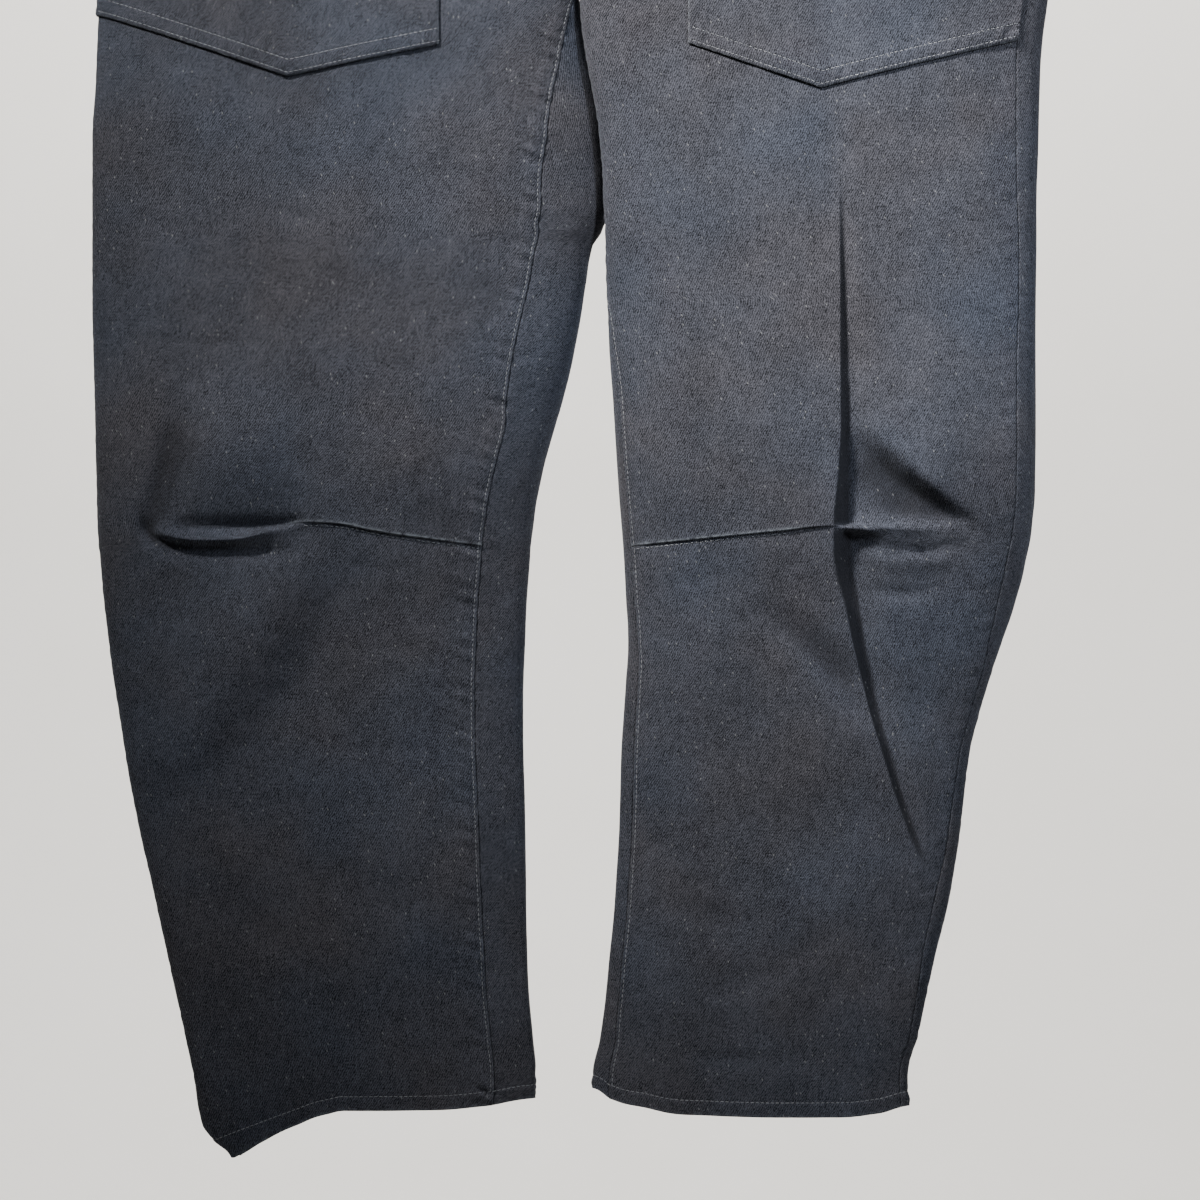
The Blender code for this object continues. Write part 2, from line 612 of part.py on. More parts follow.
def make_hook(finish):
    """Wire that turns over the rail and runs down to the middle of the bar."""
    line = HOOK_RADIUS + WIRE_RADIUS
    turns = np.radians(np.linspace(HOOK_START, HOOK_END, HOOK_POINTS))
    points = [(line * math.cos(turn), WIRE_RADIUS - line + line * math.sin(turn)) for turn in turns]
    points += [(x * MM, z * MM) for x, z in SHANK]
    points.append((0.0, BAR_Z + BAR_RADIUS + SEAM_GAP))
    wire = bpy.data.curves.new("hanger_hook", "CURVE")
    wire.dimensions = "3D"
    wire.bevel_depth = WIRE_RADIUS
    wire.bevel_resolution = 2
    wire.use_fill_caps = True
    spline = wire.splines.new("POLY")
    spline.points.add(len(points) - 1)
    for place_on, (x, z) in zip(spline.points, points):
        place_on.co = (x, 0.0, z, 1.0)
    place(bpy.data.objects.new("hanger_hook", wire), finish)


def make_button(finish):
    """Four-hole button on the over end of the waistband."""
    middle = (WAIST_TOP + WAIST_SEAM) / 2
    flat = column(DEPTH, DEPTH_COLUMNS, "front", WAIST_SEAM) * MM
    back = -(flat + BAND_CLOTH + 2 * SEAM_GAP)
    centre = Vector((BUTTON_OWN * MM, back - BUTTON_THICKNESS / 2, CROTCH_Z - middle * MM))
    through = (0, 1, 0)
    mesh = rod_mesh("waist_button", BUTTON_RADIUS, BUTTON_THICKNESS, through, centre,
                    BUTTON_SEGMENTS)
    obj = place(bpy.data.objects.new("waist_button", mesh), finish)
    bevel(obj, BUTTON_ROUNDING)
    for index in range(BUTTON_HOLES):
        angle = 2 * math.pi * (index + 0.5) / BUTTON_HOLES
        offset = Vector((math.cos(angle), 0.0, math.sin(angle))) * BUTTON_HOLE_OFFSET
        name = f"button_hole_{index}"
        hole = rod_mesh(name, BUTTON_HOLE, 4 * BUTTON_THICKNESS, through, centre + offset,
                        HOLE_SEGMENTS)
        cut(obj, name, hole)


def clear_scene():
    for obj in list(bpy.data.objects):
        bpy.data.objects.remove(obj, do_unlink=True)
    for name in (COLLECTION, CUTTERS):
        made = bpy.data.collections.new(name)
        bpy.context.scene.collection.children.link(made)


def main():
    clear_scene()
    cloth = material("washed_black_twill", (0.028, 0.029, 0.034), 0.9)
    horn = material("dark_horn", (0.035, 0.03, 0.028), 0.35)
    black_plastic = material("black_plastic", (0.02, 0.02, 0.021), 0.45)
    steel = material("polished_steel", (0.6, 0.6, 0.6), 0.22, metallic=1.0)
    fronts = {}
    for leg in ("right", "left"):
        fronts[leg] = panel(f"front_{leg}", leg, 1, cloth)
        panel(f"back_{leg}", leg, -1, cloth)
        pocket(f"pocket_{leg}", leg, fronts[leg], cloth)
        make_clip(leg, black_plastic)
    fly_placket(fronts["left"], cloth)
    make_waistband(cloth)
    make_button(horn)
    make_bar(steel)
    make_hook(steel)


main()
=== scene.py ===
"""Looks of the barrel leg trousers on their clip hanger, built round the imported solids.

Lengths in the tables are millimetres. "drop" is measured down from the crotch, and "own" is
measured outwards from the centre line, towards the leg's own side.
"""
import math

import bmesh
import bpy
import numpy as np
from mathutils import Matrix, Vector
from mathutils.bvhtree import BVHTree


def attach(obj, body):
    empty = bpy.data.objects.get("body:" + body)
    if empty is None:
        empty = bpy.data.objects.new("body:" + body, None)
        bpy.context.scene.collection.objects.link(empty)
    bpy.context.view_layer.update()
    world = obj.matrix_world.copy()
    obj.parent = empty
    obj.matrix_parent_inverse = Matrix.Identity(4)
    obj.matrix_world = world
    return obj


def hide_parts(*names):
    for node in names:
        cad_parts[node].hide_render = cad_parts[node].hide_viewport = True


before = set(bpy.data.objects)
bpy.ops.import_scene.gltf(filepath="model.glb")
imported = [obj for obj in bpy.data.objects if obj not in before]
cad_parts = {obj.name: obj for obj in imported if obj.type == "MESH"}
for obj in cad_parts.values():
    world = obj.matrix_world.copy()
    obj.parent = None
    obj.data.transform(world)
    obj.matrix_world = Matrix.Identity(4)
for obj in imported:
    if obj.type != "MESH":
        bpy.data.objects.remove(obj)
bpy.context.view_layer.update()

MM = 0.001
SIDE = {"right": -1.0, "left": 1.0}
LEGS = ("right", "left")
FRONT, BACK = 1, -1

# Sizes shared with the solids
CROTCH_Z = -0.380
WAIST_TOP = -265.0
WAIST_SEAM = -225.0
HEM_DROP = 677.0
HEM_BLEND_FROM = 560.0
EDGE_POWER = 2.3
PINCH = 0.62
PINCH_WIDTH = 27.0
PINCH_FADES_AT = -110.0
CLIP_OWN = 150.0
CROSSING_REACH = 60.0
FRONT_LEG = "left"

# Outline of each leg: drop, own distance of the outer and the inner fold
OUTLINE_COLUMNS = ("drop", "outer", "inner")
OUTLINE = {
    "right": (
        (-265, 203, 0), (-225, 208, 0), (-180, 234, 0), (-120, 264, 0), (-60, 281, 0),
        (0, 288, 0), (12, 289, -1.6), (35, 290, -4.6), (60, 291, -10), (100, 293, -16),
        (131, 293, -18), (147, 293, -15), (157, 293, -9), (180, 293, -5), (215, 292.5, 1),
        (250, 291.5, 9), (276, 291, 16.5), (300, 290.4, 22.4), (324, 289.8, 26.5),
        (348, 288, 29), (396, 283, 31.8), (444, 276, 33), (492, 268, 32), (540, 257.5, 31.2),
        (588, 247, 30.4), (636, 236.5, 27), (660, 231.5, 25.2), (684, 227.5, 26.4),
        (697, 219.5, 26.4), (709, 209, 26.4),
    ),
    "left": (
        (-265, 203, 0), (-225, 208, 0), (-180, 234, 0), (-120, 263, 0), (-60, 279, 0),
        (0, 284, 0), (12, 283, 1.2), (35, 280, 3.6), (60, 278.5, 8), (100, 277.5, 13.8),
        (131, 276.6, 15.6), (155, 276.5, 16.8), (203, 276, 18), (251, 276, 21),
        (299, 275.6, 24), (323, 274, 25.8), (347, 270, 27.6), (371, 264, 28.8),
        (395, 256, 30), (419, 248, 28.8), (443, 241, 27.2), (467, 235.5, 25.8),
        (491, 232.6, 25.2), (539, 226, 22.8), (587, 215, 18.6), (635, 204.6, 13.2),
        (660, 199, 8.6), (684, 200, 8.4), (709, 200, 8.4),
    ),
}

# Seams of each leg: how far each lies in from its fold on the front (minus: behind the fold)
SEAM_COLUMNS = ("drop", "inseam", "outseam")
SEAMS = {
    "right": (
        (-265, 0, -5), (0, 0, -5), (12, 5, -5), (47, 18, -5), (68, 27, -5), (94, 34, -5),
        (131, 40, -5), (140, 40, -5), (147, 38.6, -5), (157, 33.6, -5), (180, 34, -5),
        (214, 36, -5), (251, 33.5, -5), (273, 29, -5),
        (360, 29, -5), (530, 27.4, -5), (605, 25.3, -5), (709, 25, -5),
    ),
    "left": (
        (-265, 0, 15), (0, 0, 17), (12, -3, 17), (60, -5, 15.5), (100, -5, 14.5),
        (155, -3, 12), (185, -0.5, 11.5), (217, 2.4, 12.5), (250, 4.2, 13), (342, 5, 13),
        (393, 5.7, 9.6), (415, 7, 6.5), (525, 7.8, 8), (555, 7.8, 9.6), (620, 8.2, 6),
        (656, 10, 5.5), (709, 10, 5.5),
    ),
}

# Depth of both legs: drop, front and back from the middle plane, and how far the section is
# open across the centre line
DEPTH_COLUMNS = ("drop", "front", "back", "open")
DEPTH = (
    (-265, 10, 10, 1), (-225, 10.5, 10.5, 1), (-170, 17, 20, 1), (-105, 22, 27, 1),
    (-50, 26, 29, 0.62), (-18, 27, 28, 0.3), (0, 27, 27, 0), (100, 28, 25, 0), (200, 30, 22, 0),
    (290, 34, 18, 0), (340, 30, 16, 0), (400, 25, 17, 0), (480, 21, 18, 0), (570, 18, 17, 0),
    (677, 14, 13, 0), (709, 12, 12, 0),
)
CROSSING_COLUMNS = ("drop", "apart")
CROSSING = (
    (-40, 0), (0, 0), (6, 3), (12, 4.6), (35, 5.6), (60, 6.6), (140, 6.6), (165, 4), (230, 0),
    (709, 0),
)

# Lower edge of each hem: share of the leg's width from the inner fold, and drop
HEM_COLUMNS = ("share", "drop")
HEM = {
    "right": ((0, 671), (0.15, 675), (0.35, 677.2), (0.55, 677.5), (0.61, 679.4), (0.71, 686.2),
              (0.85, 697), (0.92, 702), (0.97, 705.3), (1, 707)),
    "left": ((0, 665), (0.06, 671), (0.16, 675.5), (0.32, 680), (0.74, 681.5), (0.9, 679.5),
             (1, 675.5)),
}

# Line that each knee dart follows across its front: own and drop. The rows of cloth beside it
# run along it, and it is sewn from the inseam as far as its tip
DART_COLUMNS = ("own", "drop")
DART = {
    "right": ((20, 343.4), (58, 338.4), (110, 331.6), (163, 324.6), (205, 333), (230, 334),
              (262, 336), (293, 338.4)),
    "left": ((20, 339.7), (33, 338.4), (78, 333.9), (123.6, 329.4), (151, 327), (170, 328),
             (205, 333), (262, 338.4)),
}
DART_BASE = 338.4
DART_TIP = {"right": 163.0, "left": 150.0}
DART_SEWN_TO = {"right": 163.0, "left": 124.0}
DART_ROWS = (-12, -8.5, -6, -4, -2.6, -1.5, -0.8, -0.3, 0.1, 0.5, 1.1, 1.8, 2.8, 4.2, 6, 8.5, 12)
DART_BLEND = 70.0

# Fold of a dart: where it fades round its tip, how far it reaches up and down, and the height
# and reach of the lip above its line and of the pressed step below it
DART_FADE = (-12.0, 10.0)
DART_REACH = 40.0
DART_LIP = (1.15, 5.0)
DART_STEP = (0.75, 4.5)

# Long fold down the left front: drop, own of its sharp edge, width of the dark wall behind the
# edge, how deep that wall goes, how far the cloth takes to rise again, and the edge's own rise
FOLD_COLUMNS = ("drop", "own", "wall", "depth", "rise", "crest")
LONG_FOLD = (
    (112, 156.0, 2.0, 0.0, 8, 0.0), (137, 156.2, 2.0, 1.2, 8, 0.2),
    (191, 156.5, 3.0, 3.0, 12, 0.7), (250, 156.5, 4.5, 4.8, 16, 1.2),
    (300, 154.5, 7.0, 6.4, 20, 1.8), (323, 152.4, 9.0, 7.4, 22, 2.2),
    (334, 152.4, 10.0, 7.4, 22, 2.3), (377, 160.2, 8.0, 6.8, 20, 2.0),
    (411.6, 168.0, 6.0, 6.0, 18, 1.6), (469, 184.2, 4.2, 4.4, 14, 1.2),
    (505, 196.5, 3.4, 2.8, 10, 0.8), (527, 205.2, 3.0, 1.4, 6, 0.3),
    (540, 210.5, 3.0, 0.0, 6, 0.0),
)
FOLD_BEFORE = 26.0
CREST_POWER = 1.6
FOLD_LINE_COLUMNS = ("drop", "own")
FOLD_LINE = ((-265, 100), (-60, 130), (112, 156), (191, 156.5), (250, 156.5), (300, 154.5),
             (323, 152.4), (334, 152.4), (377, 160.2), (411.6, 168), (469, 184.2), (505, 196.5),
             (540, 205), (600, 175), (709, 120))
FOLD_OFFSETS = (-14, -10, -7, -4.6, -2.8, -1.5, -0.6, 0, 0.6, 1.4, 2.4, 3.6, 5, 6.6, 8.4, 10.5,
                13, 16, 20, 25)
FOLD_SHARE = 0.5
FOLD_ROOM = 12.0

# Bridge of the knee dart over the long fold's wall: how much of the wall it closes, and its
# middle and reach measured down from the dart's line
DART_BRIDGE = 0.85
BRIDGE_MIDDLE = 0.8
BRIDGE_REACH = 4.4

# Painted shade on the long fold's wall: how softly it starts and ends, and the depth that shows it
# in full
WALL_STARTS = 0.6
WALL_FADES = 2.2
WALL_FULL_DEPTH = 2.5

# Broad swellings: own, drop, height, reach across and reach down
SWELLS = {
    ("right", FRONT): (
        (206, 284, 8.0, 34, 44), (110, 270, 2.0, 70, 80), (130, 430, -4.0, 60, 70),
        (90, 520, 2.5, 70, 60), (185, 600, 2.0, 40, 30), (60, 610, -1.5, 30, 50),
    ),
    ("left", FRONT): (
        (105, 285, 2.5, 60, 60), (216, 286, 4.0, 40, 30), (74, 402, 3.0, 36, 34),
        (150, 452, 2.5, 26, 30), (120, 520, -2.0, 60, 30), (100, 600, 1.6, 60, 40),
    ),
    ("right", BACK): ((150, 260, 3.0, 60, 60), (150, 470, 3.0, 60, 80)),
    ("left", BACK): ((150, 250, 3.0, 60, 60), (140, 480, 3.0, 60, 80)),
}

# Creases as paths: own, drop, height out of the cloth, and the reach to the left and to the
# right of the path as it is walked. A sharp crease has a keen crest, a soft one a round one
CREASES = {
    ("right", FRONT): (
        ("soft", ((242, 325, 0, 4, 6), (224, 326.5, -3.6, 5, 7), (192, 326.5, -3.8, 5, 7),
                  (164, 323.5, 0, 4, 5))),
        ("sharp", ((258, 329, 0, 5, 5), (247, 331, 3.4, 7, 5), (227, 335, 4.6, 8, 5),
                   (207, 334.5, 4.4, 8, 5), (184, 330, 3.2, 8, 5), (160, 324.6, 0, 5, 4))),
        ("sharp", ((266, 310, 0, 4, 5), (262, 322, -3.5, 5, 7), (258, 328.5, -6.5, 6, 8),
                   (248, 335.5, -5.8, 13, 4.5), (230, 338.6, -4.6, 16, 4.5),
                   (203, 339.8, -3.8, 14, 4.5), (178, 341, -2.4, 10, 4), (156, 341, 0, 6, 4))),
        ("soft", ((232, 232, 0, 10, 12), (240, 262, -3.0, 12, 26), (247, 290, -5, 12, 26),
                  (254, 318, -5, 10, 18), (258, 334, 0, 8, 10))),
        ("soft", ((160, 334, 0, 44, 30), (176, 366, 5.0, 52, 34), (196, 400, 7.2, 56, 36),
                  (217, 430, 7.2, 54, 34), (238, 458, 5.2, 42, 30), (262, 486, 0, 24, 24))),
        ("soft", ((291, 216, 0, 2, 3), (250, 217, -0.6, 2, 4), (200, 218, -0.5, 2, 4),
                  (150, 216, 0, 2, 3))),
        ("soft", ((138, 349, 0, 3, 4), (100, 356, -0.7, 3, 5), (58, 365, 0, 3, 4))),
        ("soft", ((140, 461, 0, 3, 4), (105, 460, -0.9, 3, 5), (62, 462, 0, 3, 4))),
        ("soft", ((284, 398, 0, 5, 5), (272, 404, -1.8, 5, 6), (258, 418, 0, 4, 5))),
        ("soft", ((282, 410, 0, 5, 5), (268, 420, -1.5, 4, 6), (254, 428, 0, 4, 5))),
        ("soft", ((150, 530, 0, 16, 16), (120, 548, -1.8, 18, 22), (86, 560, 0, 14, 16))),
        ("soft", ((235, 540, 0, 12, 12), (190, 570, -1.6, 16, 20), (150, 600, 0, 12, 14))),
        ("soft", ((70, 480, 0, 12, 14), (86, 520, -1.4, 12, 18), (96, 560, 0, 10, 12))),
        ("soft", ((120, -160, 0, 20, 26), (150, -60, -2.2, 22, 30), (160, 60, -2.6, 24, 30),
                  (150, 170, 0, 20, 26))),
        ("soft", ((4, 2, 0, 5, 8), (40, -26, -2.2, 7, 12), (92, -46, -1.4, 8, 14),
                  (140, -52, 0, 8, 12))),
        ("soft", ((10, 10, 0, 5, 8), (52, 6, -1.6, 7, 12), (110, 4, 0, 8, 12))),
    ),
    ("left", FRONT): (
        ("soft", ((163, 272, 0, 10, 10), (174, 284, -4.5, 14, 26), (188, 299, -7.5, 16, 34),
                  (206, 312, -7.0, 14, 28), (225, 322, -4.0, 10, 15), (241, 329, 0, 6, 6))),
        ("sharp", ((160, 326, 0, 4, 6), (176, 327.5, 3.6, 10, 12), (205, 328, 4.4, 10, 14),
                   (240, 327, 0, 8, 5))),
        ("sharp", ((172, 337, 0, 3, 4), (182, 339, -1.6, 3, 5), (192, 341, -2.2, 3, 5),
                   (204, 341.4, -1.8, 3, 5), (219, 338.5, 0, 3, 4))),
        ("soft", ((172, 346, 0, 6, 8), (200, 348, 1.6, 6, 10), (232, 343, 0, 6, 8))),
        ("soft", ((172, 362, 0, 4, 6), (194, 366, -2.0, 4, 9), (218, 364, 0, 4, 6))),
        ("sharp", ((168, 260, 0, 24, 8), (185, 281, 3.0, 40, 11), (206, 299, 4.0, 40, 11),
                   (228, 315, 2.6, 28, 9), (249, 329, 0, 14, 6))),
        ("soft", ((104, 372, 0, 14, 14), (126, 388, -3.0, 18, 16), (150, 408, -4.6, 18, 16),
                  (166, 430, -2.6, 14, 12), (176, 446, 0, 10, 10))),
        ("soft", ((36, 366, 0, 3, 4), (64, 360, -0.7, 3, 5), (98, 353, 0, 3, 4))),
        ("soft", ((74, 206, 0, 12, 12), (76, 250, -1.7, 12, 14), (82, 300, 0, 12, 12))),
        ("soft", ((190, 227, 0, 2, 4), (230, 226, -0.6, 2, 4), (268, 227, 0, 2, 3))),
        ("soft", ((46, 548, 0, 10, 10), (80, 560, -1.8, 12, 16), (112, 566, 0, 10, 12))),
        ("soft", ((150, 566, 0, 12, 12), (112, 596, -1.5, 14, 20), (70, 606, 0, 12, 14))),
        ("soft", ((60, 640, 0, 6, 8), (96, 646, -1.2, 6, 10), (150, 644, 0, 6, 8))),
        ("soft", ((120, -160, 0, 20, 26), (140, -60, -2.4, 22, 30), (150, 30, -2.0, 22, 28),
                  (154, 104, 0, 16, 22))),
        ("soft", ((4, 2, 0, 8, 5), (36, -24, -2.0, 12, 7), (84, -40, -1.2, 14, 8),
                  (120, -44, 0, 12, 8))),
    ),
    ("right", BACK): (
        ("soft", ((140, -150, 0, 40, 30), (150, -20, -6, 46, 26), (145, 120, -5.5, 44, 26),
                  (140, 240, 0, 40, 24))),
        ("sharp", ((56, 302, 0, 22, 14), (120, 312, -5, 22, 12), (220, 318, -7, 24, 12),
                   (278, 314, 0, 20, 12))),
        ("sharp", ((88, 374, 0, 18, 12), (170, 366, -4, 20, 10), (265, 360, 0, 18, 10))),
        ("sharp", ((70, 340, 0, 10, 8), (120, 344, -2.4, 12, 8), (190, 343, 0, 10, 8))),
        ("soft", ((60, 10, 0, 14, 12), (110, 34, -3.4, 18, 14), (190, 40, -2.2, 18, 14),
                  (250, 36, 0, 16, 12))),
        ("soft", ((22, 16, 0, 8, 8), (60, -26, -2.6, 14, 10), (120, -60, 0, 12, 10))),
        ("soft", ((170, 440, 0, 16, 16), (160, 520, -3, 20, 24), (150, 620, 0, 16, 18))),
        ("sharp", ((30, 300, 0, 6, 6), (44, 303, -1.6, 7, 7), (62, 307, 0, 6, 6))),
        ("sharp", ((26, 340, 0, 6, 6), (42, 345, -2.6, 7, 7), (66, 349, 0, 6, 6))),
        ("sharp", ((26, 384, 0, 6, 6), (42, 389, -2.2, 8, 7), (66, 390, 0, 6, 6))),
        ("sharp", ((28, 486, 0, 6, 6), (44, 492, -2.8, 7, 7), (64, 502, 0, 6, 6))),
        ("soft", ((28, 590, 0, 8, 8), (42, 600, -2.4, 10, 10), (56, 616, 0, 8, 8))),
    ),
    ("left", BACK): (
        ("soft", ((130, -150, 0, 30, 40), (142, -10, -6, 26, 46), (152, 150, -5.5, 26, 44),
                  (150, 270, 0, 24, 40))),
        ("sharp", ((46, 308, 0, 14, 22), (130, 318, -6, 12, 22), (225, 312, -5, 12, 24),
                   (264, 306, 0, 12, 20))),
        ("sharp", ((106, 362, 0, 12, 18), (180, 370, -4, 10, 20), (246, 376, 0, 10, 18))),
        ("sharp", ((90, 338, 0, 8, 10), (150, 345, -2.4, 8, 12), (214, 341, 0, 8, 10))),
        ("soft", ((54, 20, 0, 12, 14), (110, 30, -3.0, 14, 18), (190, 22, -2.4, 14, 18),
                  (240, 30, 0, 12, 16))),
        ("soft", ((22, 14, 0, 8, 8), (70, -30, -2.6, 10, 14), (130, -52, 0, 10, 12))),
        ("soft", ((140, 440, 0, 16, 16), (130, 530, -3, 24, 20), (118, 630, 0, 18, 16))),
    ),
}
PATH_STEPS = 40
SHARP_POWER = 1.8

# Slow unevenness of the cloth: height, seed, size of its humps, and whether it calms down
# towards the waist seam
UNEVEN_LAYERS = ((0.55, 31, 64, True), (0.17, 57, 23, True), (0.05, 83, 9.5, False))
UNEVEN_WAVES = 14
CALM_REACH = 60.0
HUMP_SIZES = (0.7, 1.6)

# Waves that add up to an uneven row of small humps: how often each comes, and its weight
RIPPLE_WAVES = ((1.0, 0.55), (0.71, 0.35), (1.43, 0.3), (0.23, 0.3))

# Puckers that sewing leaves: height, middle and reach in from the seam, lean, and spacing. The
# seeds give each kind of piece its own row
PUCKERS = {
    "inseam_front_right": (1.15, 7.5, 6.5, 0.45, 8.6),
    "inseam_front_left": (0.32, 7.5, 6.5, 0.45, 8.6),
    "inseam_back_right": (0.55, 3.0, 5.0, 0.0, 9.4),
    "inseam_back_left": (0.28, 3.0, 5.0, 0.0, 9.4),
    "outseam_right": (0.24, 5.0, 7.0, -0.3, 9.2),
    "outseam_left": (0.34, 5.0, 7.0, -0.3, 9.2),
    "above_hem": (0.5, 13.0, 5.5, 0.3, 10.5),
    "waistband": (0.12, 5.0, 4.0, 0.0, 11.0),
}
HEM_ROPING = (0.5, 4.2, 5.0, 0.9, 9.0)
PATCH_PUCKERS = (0.42, 6.0, 6.5, 0.4, 9.0)
SEWN_SEED = 200
PATCH_SEED = 400
BAND_SEED = 611
BAND_LEAN = 3.0

# Relief of the seams: a ridge has a height and falls away between two distances, and a groove
# has a depth, its middle and its reach. The inseam's relief fades in below the crotch
INSEAM_FADE = (4.0, 30.0)
SEAM_RIDGE = (0.5, 9.0, 11.5)
SEAM_GROOVE = (0.28, 2.2, 1.1)
HEM_RIDGE = 0.3
HEM_EDGE = (-0.4, 0.8)
HEM_GROOVE = (0.34, 1.3)

# Rubbed edges: how pale they get and how far the paleness reaches. The dart's lip is rubbed as
# far as it is sewn
RUBBED = {"inseam": 0.22, "outseam": 0.08, "hem": 0.6}
RUB_REACH = 1.2
RUB_STARTS = (0.0, 20.0)
LIP_RUBBED = (-0.7, 0.8)
LIP_FADE = (-4.0, 20.0)
PATCH_RUBBED = (0.5, 0.8)
BAND_RUBBED = (0.9, 0.9)

# Painted shade laid into the creases as darker dye: its share in the deepest wall, how much of it
# the hollows get, and the depths over which they do
CREASE_SHADE_STRENGTH = 0.8
HOLLOW_SHADE_SHARE = 0.75
HOLLOW_SHADE_DEPTHS = (0.5, 6.5)

# Grid of the cloth: columns in from each seam, how far the turned edges lie inwards, columns
# between the seams, and rows down the panel
EDGE_MARKS = (0.0, 0.12, 0.45, 0.9, 1.6, 2.2, 2.9, 4.2, 6.2, 8.4, 9.6, 11.0, 13.5)
EDGE_INWARD = (0.9, 0.45, 0.12, 0.0)
WAIST_INWARD = (0.9, 0.4)
FLANGE = 3.5
SEAM_PLAY = 0.04
FRONT_COLUMNS = 92
BACK_COLUMNS = 70
ROW_STEP = 2.7
BACK_ROW_STEP = 3.4
TOP_GAP = 0.3
TOP_ROWS = (0.0, 0.5, 1.2)
FINE_STEPS = 901
CLOTH = 0.75

# Hem: how high it is sewn, its rows measured up from its lower edge, and the turned-up cloth by
# height and depth. Its first rows are worn like the edge
HEM_HEIGHT = 8.6
HEM_ROWS_UP = (24, 20.5, 17.5, 15, 13, 11.4, 10.2, 9.3, 8.6, 7.9, 6.6, 5.2, 3.8, 2.5, 1.4, 0.6)
HEM_TURN = ((0.15, 0.2), (0.0, 0.7), (0.1, 1.3), (0.7, 1.75), (3.0, 1.9), (6.5, 1.9), (9.6, 1.9))
HEM_FOLD = 1.2
HEM_WORN_ROWS = 2

# Stitches: spacing, length, lean and thread
STITCH_PITCH = 3.0
STITCH_LENGTH = 2.35
STITCH_LEAN = 0.06
STITCH_SEED = 7
THREAD_WIDTH = 0.5
THREAD_HEIGHT = 0.36
THREAD_BALL = {"Segments": 6, "Rings": 4, "Radius": 0.5}

# Stitch rows: how far in from a seam and below the dart's line, the drops where the inseam's
# row starts and the rise's rows end, and the gap to a seam that crosses them
SEAM_ROWS = (2.2, 8.4)
DART_ROW_BELOW = 1.8
INSEAM_ROW_FROM = 8.0
RISE_ROW_TO = -6.0
ROW_GAP = 2.0
BAND_END_IN = 3.0

# Rows on a patch are dropped onto it from in front, where it faces forwards enough
DROPPED_FROM_Y = -0.3
LEAST_FACING = 0.2

# Pockets and fly: corners by own and drop, as on the solids, and a point inside each
POCKETS = {
    "right": {"inner": (83.0, 39.0), "point": (174.0, 58.0), "outer": (300.0, 15.0)},
    "left": {"inner": (66.0, 38.0), "point": (145.0, 65.0), "outer": (300.0, 26.0)},
}
POCKET_MOUTH = ((122.0, -225.0), (262.0, -95.0))
POCKET_ROWS = (2.3, 9.7)
FLY_WIDTH = 36.0
FLY_EDGE = 1.2
FLY_END = -110.0
FLY_SLANT = 20.0
POCKET_INSIDE = (150.0, -40.0)
FLY_INSIDE = (10.0, -180.0)

# Patches: lines cut in from their edges, lift off the front, the folded border and its fall,
# the groove under the stitches, and the unevenness by height, seed and size
PATCH_EDGE_MARKS = (0.5, 1.2, 2.3, 3.5, 6.0, 8.6, 9.7, 10.8, 13.0)
PATCH_ROOM = 12.0
PATCH_LIFT = 1.15
PATCH_BORDER = 0.75
PATCH_RISE = (0.0, 1.6)
PATCH_FALL = (0.45, 10.5, 13.0)
PATCH_GROOVE = (0.26, 1.1)
PATCH_UNEVEN = (0.10, 5, 26)

# Waistband: its profile runs down by a share of its half height and how far in it lies, and
# its lower half mirrors the upper one
BAND_CLOTH = 2.2
BAND_WALL = 0.8
LAP_RISE = (54.0, 40.0)
BAND_GAP = 0.3
BAND_UNDER_END = 34.0
BAND_OVER_END = -2.0
BAND_COLUMNS = 340
BAND_STITCH_IN = 2.6
BAND_GROOVE = (0.22, 1.2)
BAND_MIDDLE = (WAIST_TOP + WAIST_SEAM) / 2
BAND_HALF = (WAIST_SEAM - WAIST_TOP) / 2
BAND_EDGE = ((0.95, 0.0), (0.985, 0.2), (1.0, 0.7), (1.0, 1.3), (0.97, 1.95), (0.86, 2.05))
BAND_SIDE = [(share, 0.0) for share in (0.2, 0.4, 0.6, 0.75, 0.83, 0.87, 0.91)] + list(BAND_EDGE)
BAND_PROFILE = np.array(
    [(-share, inward) for share, inward in BAND_SIDE[::-1]] + [(0.0, 0.0)] + BAND_SIDE)

# Twill: pitch of its wales in metres, their lean and bend, and how much wales and grain show
WALE_PITCH = 0.00125
WALE_LEAN = (0.86, 0.51)
WALE_BEND = 1.6
WALE_SHARE = 0.4
GRAIN_SHARE = 0.9
GRAIN_SCALE = (1500.0, 900.0, 1.0)
WOBBLE_SCALE = 330.0
WEAVE_MIDDLE = 0.65
WEAVE_IN_COLOUR = 1.35
WEAVE_RELIEF = (0.7, 0.0003)

# Colours and dye of the cloth. Each layer of dye has its scale, kind and weight
DYE_DARK = (0.0030, 0.0036, 0.0055, 1.0)
DYE_PALE = (0.064, 0.069, 0.087, 1.0)
# Colour of the painted shade in the deep creases and on the long fold's wall
CREASE_SHADE_COLOUR = (0.0085, 0.0085, 0.0105, 1.0)
DYE_BROWN = (1.09, 1.0, 0.93, 1.0)
DYE_BLUE = (0.95, 1.0, 1.06, 1.0)
CLOTH_RUBBED = (0.13, 0.145, 0.165, 1.0)
FIBRE_PALE = (0.20, 0.205, 0.21, 1.0)
DYE_LAYERS = (
    ((900.0, 820.0, 1.0), "Streaks", 1.25), ((470.0, 430.0, 1.0), "Streaks", 0.45),
    ((1300.0, 200.0, 1.0), "Streaks", 0.7), ((220.0, 1200.0, 1.0), "Streaks", 0.6),
    ((380.0, 60.0, 1.0), "Streaks", 0.3), ((140.0, 120.0, 1.0), "Blotches", 0.35),
    ((30.0, 24.0, 1.0), "Blotches", 0.28), ((9.0, 7.0, 1.0), "Blotches", 0.22),
)
